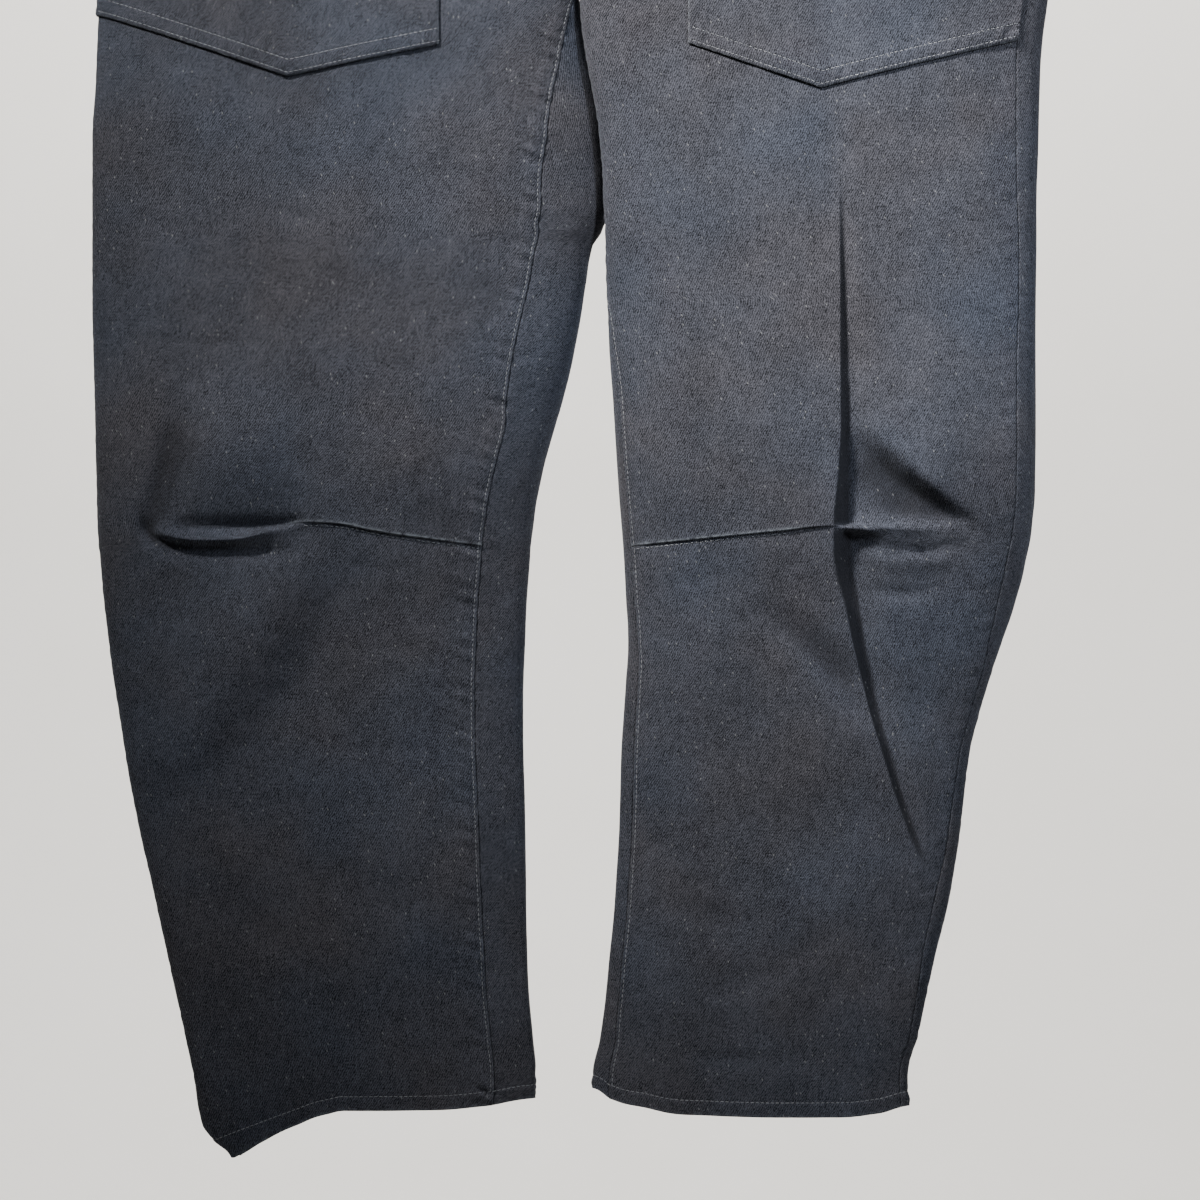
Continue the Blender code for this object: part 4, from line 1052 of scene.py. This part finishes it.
def build_patch(name, leg, cloth, edges, keep, finish):
    """Patch sewn on a front: the front's own surface inside straight edges, moved out, with
    a raised border where the edges are folded under."""
    bm = bmesh.new()
    worn_layer = bm.verts.layers.float.new("wear_and_shade")
    patch_grid(bm, leg, cloth, edges)
    for start, end in edges:
        polygon_cut(bm, start, end, keep, leg)
    for start, end in edges:
        across = sideways(start, end, keep)
        for depth in PATCH_EDGE_MARKS:
            moved = [tuple(np.array(corner) + across * depth) for corner in (start, end)]
            polygon_cut(bm, *moved, keep, leg, clear=False)
    bm.normal_update()
    bm.verts.ensure_lookup_table()
    own = np.array([vert.co.x * SIDE[leg] / MM for vert in bm.verts])
    drop = np.array([(CROTCH_Z - vert.co.z) / MM for vert in bm.verts])
    away = np.min([edge_distance(*edge, own, drop) for edge in edges], axis=0)
    height = patch_height(leg, away, own, drop)
    normals = [vert.normal.copy() for vert in bm.verts]
    wear_and_shade = PATCH_RUBBED[0] * hump(away, 0.0, PATCH_RUBBED[1])
    for vert, normal, lift, worn in zip(bm.verts, normals, height, wear_and_shade):
        vert.co += normal * (lift * MM)
        vert[worn_layer] = worn
    bmesh.ops.dissolve_degenerate(bm, dist=2e-5, edges=bm.edges[:])
    mesh = bpy.data.meshes.new(name)
    bm.to_mesh(mesh)
    bm.free()
    mesh.shade_smooth()
    obj = place(name, mesh, finish)
    thicken(obj, CLOTH)
    return obj


def build_pocket(leg, cloth, finish):
    shape = POCKETS[leg]
    top = (shape["inner"][0], WAIST_SEAM)
    edges = [(top, shape["inner"]), (shape["inner"], shape["point"]),
             (shape["point"], shape["outer"]), POCKET_MOUTH]
    return build_patch(f"pocket_{leg}_cloth", leg, cloth, edges, POCKET_INSIDE, finish)


def build_fly(cloth, finish):
    edges = [((FLY_EDGE, WAIST_SEAM), (FLY_EDGE, FLY_END)),
             ((FLY_WIDTH, WAIST_SEAM), (FLY_WIDTH, FLY_END)),
             ((0.0, FLY_END), (FLY_WIDTH, FLY_END - FLY_SLANT))]
    return build_patch("fly_placket_cloth", "left", cloth, edges, FLY_INSIDE, finish)


def band_turn(own):
    """Turn of a point of the waistband at this distance across the centre front."""
    outer = float(leg_folds("left", WAIST_SEAM)[0])
    return math.copysign(math.asin((abs(own) / outer) ** (EDGE_POWER / 2)), own)


def band_point(turn, drop):
    """Point of the waistband's outside in millimetres. turn grows from the centre front round
    the wearer's left side, and the lap lies further out."""
    outer = leg_folds("left", drop)[0]
    front = column(DEPTH, DEPTH_COLUMNS, "front", drop)
    sine = np.sin(turn)
    own = outer * rounded(np.abs(sine))
    from_edge = np.clip((outer - own) / (outer / 2), 0.0, 1.0)
    fullness = (1 - (1 - from_edge) ** EDGE_POWER) ** (1 / EDGE_POWER)
    depth = front * fullness * (1 - clip_pinch(own, WAIST_SEAM))
    rise_start, rise_end = (band_turn(at) - 2 * math.pi for at in LAP_RISE)
    lift = (BAND_CLOTH + BAND_GAP) * soft_step(-turn, -rise_start, -rise_end)
    x = np.sign(sine) * own
    y = -np.sign(np.cos(turn)) * depth - lift
    z = CROTCH_Z / MM - drop + np.zeros_like(x)
    return np.stack([x, y, z], axis=-1)


def build_waistband(finish):
    """Folded strip round the waist, rounded along its two long edges and lapped in front."""
    under = band_turn(BAND_UNDER_END)
    over = band_turn(BAND_OVER_END) - 2 * math.pi
    turns = np.linspace(under, over, BAND_COLUMNS)
    flat = band_point(turns, np.full_like(turns, BAND_MIDDLE))
    steps = np.linalg.norm(np.diff(flat, axis=0), axis=1)
    along = np.concatenate([[0.0], np.cumsum(steps)])
    tangent = np.gradient(flat, along, axis=0)
    outward = np.stack([-tangent[:, 1], tangent[:, 0], 0 * along], axis=-1)
    outward *= -1.0 / np.linalg.norm(outward, axis=1)[:, None]
    outward *= np.sign((outward * (flat - (0, 0, flat[0, 2]))).sum(axis=1).mean())
    rows = []
    for share, inward in BAND_PROFILE:
        points = band_point(turns, np.full_like(turns, BAND_MIDDLE + share * BAND_HALF))
        from_edge = BAND_HALF - abs(share) * BAND_HALF
        height = puckers("waistband", from_edge, along + BAND_LEAN * share, BAND_SEED)
        height -= BAND_GROOVE[0] * bump(from_edge - BAND_STITCH_IN, BAND_GROOVE[1])
        rows.append(points + outward * (height - inward)[:, None])
    grid = np.array(rows)
    spread = 0 * grid[:, :, 0]
    shares = BAND_PROFILE[:, :1]
    lie = np.stack([-along + spread, shares * BAND_HALF + spread], axis=-1)
    from_edges = (1 - np.abs(shares)) * BAND_HALF
    wear_and_shade = BAND_RUBBED[0] * hump(from_edges, 0.0, BAND_RUBBED[1]) + spread
    mesh = shell_mesh("waistband_cloth", grid * MM, lie * MM, wear_and_shade, flipped=False)
    obj = place("waistband_cloth", mesh, finish)
    thicken(obj, BAND_WALL)
    return obj, {"turns": turns, "outward": outward, "points": grid}


def panel_rows(leg, facing, cloth):
    """Stitch rows that follow a panel's own grid: inseam, dart and hem."""
    row, drop = cloth["row"][:, 0], cloth["drop"]
    sewn = EDGE_MARKS.index(SEAM_ROWS[0])

    def chain(*where):
        return cloth["surface"][where], cloth["outward"][where]

    found = [chain(int(np.argmin(np.abs(row - (HEM_DROP - HEM_HEIGHT)))))]
    if facing == FRONT:
        below = (drop[:, sewn] > INSEAM_ROW_FROM) & (row < HEM_DROP - HEM_HEIGHT)
        found.append(chain(below, sewn))
        dart = int(np.argmin(np.abs(row - (DART_BASE + DART_ROW_BELOW))))
        on_dart = (cloth["own"][dart] < DART_SEWN_TO[leg]) & (cloth["from_first"][dart] > ROW_GAP)
        found.append(chain(dart, on_dart))
    if leg == "left":
        top = FLY_END if facing == FRONT else WAIST_SEAM
        rise = (drop[:, sewn] > top + ROW_GAP) & (drop[:, sewn] < RISE_ROW_TO)
        columns = [sewn] if facing == FRONT else [-1 - EDGE_MARKS.index(at) for at in SEAM_ROWS]
        found += [chain(rise, at) for at in columns]
    return found


def inset_path(corners, keep, depth):
    """Corners of a path moved sideways by a depth, towards a point."""
    lines = []
    for start, end in zip(corners[:-1], corners[1:]):
        start, end = np.array(start, dtype=float), np.array(end, dtype=float)
        moved = sideways(start, end, keep) * depth
        lines.append((start + moved, (end - start) / np.linalg.norm(end - start), end + moved))
    path = [lines[0][0]]
    for (start, run, _), (other, other_run, _) in zip(lines[:-1], lines[1:]):
        solved = np.linalg.solve(np.array([run, -other_run]).T, other - start)
        path.append(start + run * solved[0])
    path.append(lines[-1][2])
    return path


def seen_chain(tree, leg, path):
    """Stitch row dropped from in front onto a patch, along a path of own and drop."""
    points, outward = [], []
    for start, end in zip(path[:-1], path[1:]):
        count = max(2, int(np.linalg.norm(end - start) / STITCH_PITCH))
        for share in np.linspace(0, 1, count, endpoint=False):
            own, drop = start + (end - start) * share
            origin = Vector((SIDE[leg] * own * MM, DROPPED_FROM_Y, CROTCH_Z - drop * MM))
            hit, normal, _, _ = tree.ray_cast(origin, Vector((0, 1, 0)))
            if hit is not None and abs(normal.y) > LEAST_FACING:
                points.append(np.array(hit) / MM)
                outward.append(np.array(normal) * (-1 if normal.y > 0 else 1))
    return np.array(points), np.array(outward)


def patch_rows(pockets, fly):
    """Double rows along each pocket's lower edges and mouth, and round the fly."""
    corners = ((FLY_WIDTH, WAIST_SEAM + 1), (FLY_WIDTH, FLY_END - FLY_SLANT), (FLY_EDGE, FLY_END))
    seams = []
    for leg, obj in pockets.items():
        low = [POCKETS[leg][corner] for corner in ("inner", "point", "outer")]
        seams.append((obj, leg, (low, POCKET_MOUTH), POCKET_INSIDE))
    seams.append((fly, "left", (corners,), FLY_INSIDE))
    graph = bpy.context.evaluated_depsgraph_get()
    found = []
    for obj, leg, paths, keep in seams:
        tree = BVHTree.FromObject(obj, graph)
        found += [seen_chain(tree, leg, inset_path(path, keep, depth))
                  for depth in POCKET_ROWS for path in paths]
    return found


def band_rows(band):
    """Rows along both edges of the waistband and down its over end."""
    from_edge = BAND_HALF - np.abs(BAND_PROFILE[:, 0]) * BAND_HALF
    on_row = np.isclose(from_edge, BAND_STITCH_IN) & (BAND_PROFILE[:, 1] == 0)
    sewn = np.flatnonzero(on_row)
    found = [(band["points"][index], band["outward"]) for index in sewn]
    end_turn = band_turn(BAND_OVER_END + BAND_END_IN) - 2 * math.pi
    end = int(np.argmin(np.abs(band["turns"] - end_turn)))
    points = band["points"][sewn[0]:sewn[-1] + 1, end]
    found.append((points, np.repeat(band["outward"][end][None], len(points), axis=0)))
    return found


def path_mesh(name, chains):
    """Open mesh of lines that carry the direction off the cloth at each point."""
    points, outward, edges = [], [], []
    for line, off in chains:
        if len(line) < 2:
            continue
        first = len(points)
        points += [tuple(point * MM) for point in line]
        outward += [tuple(direction) for direction in off]
        edges += [(first + index, first + index + 1) for index in range(len(line) - 1)]
    mesh = bpy.data.meshes.new(name)
    mesh.from_pydata(points, edges, [])
    layer = mesh.attributes.new("outwards", "FLOAT_VECTOR", "POINT")
    layer.data.foreach_set("vector", np.array(outward, dtype=np.float32).ravel())
    return mesh


def add_node(tree, kind, inputs=(), **settings):
    """New node with its settings, and its inputs set to values or linked to sockets."""
    made = tree.nodes.new(kind)
    for name, value in settings.items():
        setattr(made, name, value)
    for key, value in dict(inputs).items():
        if isinstance(value, bpy.types.NodeSocket):
            tree.links.new(value, made.inputs[key])
        else:
            made.inputs[key].default_value = value
    return made


def stitch_tree():
    """Lays a stitch at every pitch along the lines, flat on the cloth."""
    tree = bpy.data.node_groups.new("stitch_rows", "GeometryNodeTree")
    sockets = tree.interface
    sockets.new_socket("Geometry", in_out="INPUT", socket_type="NodeSocketGeometry")
    for name in ("Pitch", "Stitch length", "Thread width", "Thread height", "Lean"):
        sockets.new_socket(name, in_out="INPUT", socket_type="NodeSocketFloat")
    sockets.new_socket("Seed", in_out="INPUT", socket_type="NodeSocketInt")
    sockets.new_socket("Thread", in_out="INPUT", socket_type="NodeSocketMaterial")
    sockets.new_socket("Geometry", in_out="OUTPUT", socket_type="NodeSocketGeometry")
    given = tree.nodes.new("NodeGroupInput").outputs
    curve = add_node(tree, "GeometryNodeMeshToCurve", {"Mesh": given["Geometry"]})
    spots = add_node(tree, "GeometryNodeCurveToPoints",
                     {"Curve": curve.outputs[0], "Length": given["Pitch"]}, mode="LENGTH")
    off = add_node(tree, "GeometryNodeInputNamedAttribute", {"Name": "outwards"},
                   data_type="FLOAT_VECTOR")
    along = add_node(tree, "FunctionNodeAlignRotationToVector",
                     {"Vector": spots.outputs["Tangent"]}, axis="Z")
    flat = add_node(tree, "FunctionNodeAlignRotationToVector",
                    {"Rotation": along.outputs[0], "Vector": off.outputs[0]},
                    axis="X", pivot_axis="Z")
    least = add_node(tree, "ShaderNodeMath", {0: given["Lean"], 1: -1.0}, operation="MULTIPLY")
    lean = add_node(tree, "FunctionNodeRandomValue",
                    {"Min": least.outputs[0], "Max": given["Lean"], "Seed": given["Seed"]})
    tilt = add_node(tree, "ShaderNodeCombineXYZ", {"X": lean.outputs["Value"]})
    turn = add_node(tree, "FunctionNodeEulerToRotation", {"Euler": tilt.outputs[0]})
    laid = add_node(tree, "FunctionNodeRotateRotation",
                    {"Rotation": flat.outputs[0], "Rotate By": turn.outputs[0]},
                    rotation_space="LOCAL")
    size = add_node(tree, "ShaderNodeCombineXYZ",
                    {"X": given["Thread height"], "Y": given["Thread width"],
                     "Z": given["Stitch length"]})
    ball = add_node(tree, "GeometryNodeMeshUVSphere", THREAD_BALL)
    stitch = add_node(tree, "GeometryNodeTransform",
                      {"Geometry": ball.outputs[0], "Scale": size.outputs[0]})
    smooth = add_node(tree, "GeometryNodeSetShadeSmooth", {"Geometry": stitch.outputs[0]})
    laid_on = add_node(tree, "GeometryNodeInstanceOnPoints",
                       {"Points": spots.outputs["Points"], "Instance": smooth.outputs[0],
                        "Rotation": laid.outputs[0]})
    real = add_node(tree, "GeometryNodeRealizeInstances", {"Geometry": laid_on.outputs[0]})
    worn = add_node(tree, "GeometryNodeSetMaterial",
                    {"Geometry": real.outputs[0], "Material": given["Thread"]})
    add_node(tree, "NodeGroupOutput", {"Geometry": worn.outputs[0]})
    return tree


def build_stitches(chains, thread):
    """All stitch rows of the garment as one plain mesh."""
    paths = linked("stitch_paths", path_mesh("stitch_paths", chains))
    tree = stitch_tree()
    rows = paths.modifiers.new("stitches", "NODES")
    rows.node_group = tree
    wanted = {"Pitch": STITCH_PITCH * MM, "Stitch length": STITCH_LENGTH * MM,
              "Thread width": THREAD_WIDTH * MM, "Thread height": THREAD_HEIGHT * MM,
              "Lean": STITCH_LEAN, "Seed": STITCH_SEED, "Thread": thread}
    for socket in tree.interface.items_tree:
        if socket.in_out == "INPUT" and socket.name in wanted:
            rows[socket.identifier] = wanted[socket.name]
    graph = bpy.context.evaluated_depsgraph_get()
    mesh = bpy.data.meshes.new_from_object(paths.evaluated_get(graph), depsgraph=graph)
    bpy.data.objects.remove(paths)
    mesh.name = "stitching"
    return linked("stitching", mesh)


def effect_group(name, values, masks):
    """Shader node group with a Vector input, named number inputs and named outputs."""
    tree = bpy.data.node_groups.new(name, "ShaderNodeTree")
    sockets = tree.interface
    sockets.new_socket("Vector", in_out="INPUT", socket_type="NodeSocketVector")
    for label, value in values.items():
        made = sockets.new_socket(label, in_out="INPUT", socket_type="NodeSocketFloat")
        made.default_value = value
    for label in masks:
        sockets.new_socket(label, in_out="OUTPUT", socket_type="NodeSocketFloat")
    return tree, tree.nodes.new("NodeGroupInput").outputs, tree.nodes.new("NodeGroupOutput").inputs


def maths(tree, operation, first, second=0.0, clamp=False):
    return add_node(tree, "ShaderNodeMath", {0: first, 1: second}, operation=operation,
                    use_clamp=clamp).outputs[0]


def ranged(tree, value, start, end, low=0.0, high=1.0):
    """Value mapped from one range to another, and kept inside it."""
    return add_node(tree, "ShaderNodeMapRange",
                    {"Value": value, "From Min": start, "From Max": end, "To Min": low,
                     "To Max": high}).outputs[0]


def noise(tree, vector, scale=1.0, detail=2.0):
    return add_node(tree, "ShaderNodeTexNoise",
                    {"Vector": vector, "Scale": scale, "Detail": detail}).outputs[0]


def stretched(tree, vector, scale, turn=0.0):
    """Map coordinates scaled in each direction and turned."""
    turned = add_node(tree, "ShaderNodeMapping",
                      {"Vector": vector, "Rotation": (0.0, 0.0, turn)})
    return add_node(tree, "ShaderNodeMapping",
                    {"Vector": turned.outputs[0], "Scale": scale}).outputs[0]


def twill_group():
    """Diagonal wales of a twill with uneven yarns. Vector is the cloth map in metres."""
    tree, given, wanted = effect_group(
        "twill_weave", {"Wale pitch": WALE_PITCH, "Unevenness": 1.0}, ("Height",))
    wobble = noise(tree, given["Vector"], WOBBLE_SCALE)
    split = add_node(tree, "ShaderNodeSeparateXYZ", {"Vector": given["Vector"]})
    leaned = [maths(tree, "MULTIPLY", split.outputs[axis], share)
              for axis, share in enumerate(WALE_LEAN)]
    turns = maths(tree, "DIVIDE", maths(tree, "ADD", *leaned), given["Wale pitch"])
    bent = maths(tree, "MULTIPLY", wobble, given["Unevenness"])
    turns = maths(tree, "ADD", turns, maths(tree, "MULTIPLY", bent, WALE_BEND))
    wale = maths(tree, "SINE", maths(tree, "MULTIPLY", turns, 2 * math.pi))
    wale = maths(tree, "ADD", maths(tree, "MULTIPLY", wale, 0.5), 0.5)
    grain = noise(tree, stretched(tree, given["Vector"], GRAIN_SCALE))
    rough = maths(tree, "MULTIPLY", grain, given["Unevenness"])
    height = maths(tree, "ADD", maths(tree, "MULTIPLY", wale, WALE_SHARE),
                   maths(tree, "MULTIPLY", rough, GRAIN_SHARE))
    tree.links.new(height, wanted["Height"])
    return tree


def dye_group():
    """Uneven dye: warp streaks, slubs, soft blotches, pale fibre ends and a drift in hue."""
    tree, given, wanted = effect_group(
        "washed_dye", {"Streaks": 1.0, "Blotches": 1.0}, ("Shade", "Fibre ends", "Hue"))
    total = None
    for scale, name, weight in DYE_LAYERS:
        centred = maths(tree, "SUBTRACT", noise(tree, stretched(tree, given["Vector"], scale)), 0.5)
        part = maths(tree, "MULTIPLY", maths(tree, "MULTIPLY", centred, weight), given[name])
        total = part if total is None else maths(tree, "ADD", total, part)
    tree.links.new(maths(tree, "ADD", total, 0.5), wanted["Shade"])
    specks = add_node(tree, "ShaderNodeTexVoronoi",
                      {"Vector": stretched(tree, given["Vector"], SPECK_SCALE, SPECK_TURN),
                       "Scale": 1.0})
    small = ranged(tree, specks.outputs["Distance"], *SPECK_SIZES, 1.0, 0.0)
    picked = add_node(tree, "ShaderNodeSeparateXYZ", {"Vector": specks.outputs["Color"]})
    few = maths(tree, "GREATER_THAN", picked.outputs[0], SPECKS_LEFT_OUT)
    tree.links.new(maths(tree, "MULTIPLY", small, few), wanted["Fibre ends"])
    drift = noise(tree, given["Vector"], HUE_SCALE, 3.0)
    tree.links.new(ranged(tree, drift, *HUE_RANGE), wanted["Hue"])
    return tree


def rub_group():
    """Pale rubbed edges: the worn mask broken up by the cloth's own unevenness."""
    tree, given, wanted = effect_group("rubbed_edges", {"Wear": 0.0, "Amount": 1.0}, ("Mask",))
    broken = ranged(tree, noise(tree, given["Vector"], RUB_SCALE, 3.0), *RUB_RANGE)
    mask = maths(tree, "MULTIPLY", given["Wear"], broken)
    tree.links.new(maths(tree, "MULTIPLY", mask, given["Amount"], clamp=True), wanted["Mask"])
    return tree


def colour_mix(tree, factor, first, second, blend="MIX"):
    return add_node(tree, "ShaderNodeMix", {0: factor, 6: first, 7: second}, data_type="RGBA",
                    blend_type=blend, clamp_factor=True).outputs[2]


def bumped(tree, shader, height, strength, distance):
    """Gives a shader the relief of a height."""
    made = add_node(tree, "ShaderNodeBump",
                    {"Height": height, "Strength": strength, "Distance": distance})
    tree.links.new(made.outputs[0], shader.inputs["Normal"])


def new_material(name, constants):
    """Material with a Principled shader whose constant sockets are set directly."""
    made = bpy.data.materials.new(name)
    made.use_nodes = True
    shader = made.node_tree.nodes["Principled BSDF"]
    for socket, value in constants.items():
        shader.inputs[socket].default_value = value
    return made, made.node_tree, shader


def cloth_material():
    """Washed black twill with blue and brown in its dye, paler where it has rubbed and darker in
    its creases as painted shade.
    """
    made, tree, shader = new_material("washed_black_twill", CLOTH_SHADER)
    place_on = add_node(tree, "ShaderNodeUVMap", uv_map="cloth").outputs[0]
    worn = add_node(tree, "ShaderNodeAttribute", attribute_name="wear_and_shade").outputs["Fac"]
    weave, dye, rub = (add_node(tree, "ShaderNodeGroup", node_tree=group())
                       for group in (twill_group, dye_group, rub_group))
    for effect in (weave, dye, rub):
        tree.links.new(place_on, effect.inputs["Vector"])
    tree.links.new(worn, rub.inputs["Wear"])
    rub.inputs["Amount"].default_value = RUB_AMOUNT
    centred = maths(tree, "SUBTRACT", weave.outputs["Height"], WEAVE_MIDDLE)
    from_weave = maths(tree, "MULTIPLY", centred, WEAVE_IN_COLOUR)
    shade = ranged(tree, maths(tree, "ADD", dye.outputs["Shade"], from_weave), 0.0, 1.0)
    colour = colour_mix(tree, shade, DYE_DARK, DYE_PALE)
    hue = colour_mix(tree, dye.outputs["Hue"], DYE_BROWN, DYE_BLUE)
    colour = colour_mix(tree, 1.0, colour, hue, "MULTIPLY")
    # Minus values of the attribute are painted shade, mixed in as darker colour in the creases
    painted_shade = maths(tree, "MULTIPLY", worn, -1.0, clamp=True)
    ends = maths(tree, "MULTIPLY", dye.outputs["Fibre ends"], FIBRE_AMOUNT)
    for mask, tone in ((painted_shade, CREASE_SHADE_COLOUR), (rub.outputs["Mask"], CLOTH_RUBBED), (ends, FIBRE_PALE)):
        colour = colour_mix(tree, mask, colour, tone)
    tree.links.new(colour, shader.inputs["Base Color"])
    rough = ranged(tree, dye.outputs["Shade"], 0.0, 1.0, *CLOTH_ROUGHNESS)
    tree.links.new(rough, shader.inputs["Roughness"])
    bumped(tree, shader, weave.outputs["Height"], *WEAVE_RELIEF)
    return made


def plain_material(name, dark, pale, rough, scale, stretch, constants):
    """Hard finish whose colour, gloss and surface vary finely over the piece."""
    made, tree, shader = new_material(name, {"Roughness": rough[0], **constants})
    at = add_node(tree, "ShaderNodeTexCoord").outputs["Object"]
    grain = noise(tree, stretched(tree, at, stretch), scale, 3.0)
    cloud = noise(tree, at, scale / CLOUD_SIZE, 3.0)
    mixed = maths(tree, "ADD", maths(tree, "MULTIPLY", grain, 0.5),
                  maths(tree, "MULTIPLY", cloud, 0.5))
    spread = ranged(tree, mixed, *FINISH_RANGE)
    tree.links.new(colour_mix(tree, spread, dark, pale), shader.inputs["Base Color"])
    gloss = ranged(tree, mixed, *FINISH_RANGE, *rough)
    tree.links.new(gloss, shader.inputs["Roughness"])
    bumped(tree, shader, grain, *FINISH_RELIEF)
    return made


def build_stage(finish):
    """Pale floor that sweeps up into a backdrop far behind the garment."""
    profile = [(-STAGE_REACH, STAGE_FLOOR)]
    for step in range(STAGE_STEPS + 1):
        angle = 0.5 * math.pi * step / STAGE_STEPS
        y = STAGE_BACK - STAGE_BEND + STAGE_BEND * math.sin(angle)
        z = STAGE_FLOOR + STAGE_BEND - STAGE_BEND * math.cos(angle)
        profile.append((y, z))
    profile.append((STAGE_BACK, STAGE_TOP))
    points = [(x, y, z) for x in (-STAGE_WIDTH, STAGE_WIDTH) for y, z in profile]
    count = len(profile)
    faces = [(index, index + count, index + count + 1, index + 1) for index in range(count - 1)]
    mesh = bpy.data.meshes.new("backdrop")
    mesh.from_pydata(points, [], faces)
    mesh.shade_smooth()
    return place("backdrop", mesh, finish)


def area_light(name, place_at, look_at, size, spread, power, colour):
    lamp = bpy.data.lights.new(name, "AREA")
    lamp.shape = "RECTANGLE"
    lamp.size, lamp.size_y = size
    lamp.spread = math.radians(spread)
    lamp.energy = power
    lamp.color = colour
    obj = linked(name, lamp)
    obj.location = place_at
    direction = Vector(look_at) - Vector(place_at)
    obj.rotation_euler = direction.to_track_quat("-Z", "Y").to_euler()
    obj.visible_camera = False


def build_lights():
    for settings in LIGHTS:
        area_light(*settings)
    world = bpy.data.worlds.new("studio")
    world.use_nodes = True
    sky = world.node_tree.nodes["Background"]
    sky.inputs["Color"].default_value = WORLD_COLOUR
    sky.inputs["Strength"].default_value = WORLD_STRENGTH
    bpy.context.scene.world = world


def build_camera():
    lens = bpy.data.cameras.new("camera")
    lens.sensor_width = SENSOR
    lens.lens = SENSOR * CAMERA_DISTANCE / VIEW_WIDTH
    obj = linked("camera", lens)
    obj.location = (CAMERA_X, CLOTH_PLANE_Y - CAMERA_DISTANCE, CAMERA_Z)
    obj.rotation_euler = (math.radians(90), 0.0, 0.0)
    bpy.context.scene.camera = obj


def build_garment(twill, thread):
    """All cloth pieces with the node that each replaces, and the stitching."""
    sheets, fronts, chains = [], {}, []
    for leg in LEGS:
        for facing in (FRONT, BACK):
            obj, cloth = build_panel(leg, facing, twill)
            sheets.append((obj, panel_name(leg, facing)))
            chains += panel_rows(leg, facing, cloth)
            if facing == FRONT:
                fronts[leg] = cloth
    pockets = {leg: build_pocket(leg, fronts[leg], twill) for leg in LEGS}
    fly = build_fly(fronts["left"], twill)
    band, band_cloth = build_waistband(twill)
    sheets += [(obj, f"pocket_{leg}") for leg, obj in pockets.items()]
    sheets += [(fly, "fly_placket"), (band, "waistband")]
    bpy.context.view_layer.update()
    chains += patch_rows(pockets, fly)
    chains += band_rows(band_cloth)
    return sheets, build_stitches(chains, thread)


def refinish(node, finish):
    """Gives a carried-over CAD node its material."""
    mesh = node.data
    mesh.materials.clear()
    mesh.materials.append(finish)


def main():
    finishes = {name: plain_material(name, *looks) for name, looks in FINISHES.items()}
    sheets, stitches = build_garment(cloth_material(), finishes["charcoal_thread"])
    for obj, node in sheets:
        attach(obj, "root")
        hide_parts(node)
    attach(stitches, "root")
    for node, finish in NODE_FINISHES.items():
        refinish(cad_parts[node], finishes[finish])
    build_stage(finishes["pale_backdrop"])
    build_lights()
    build_camera()


main()
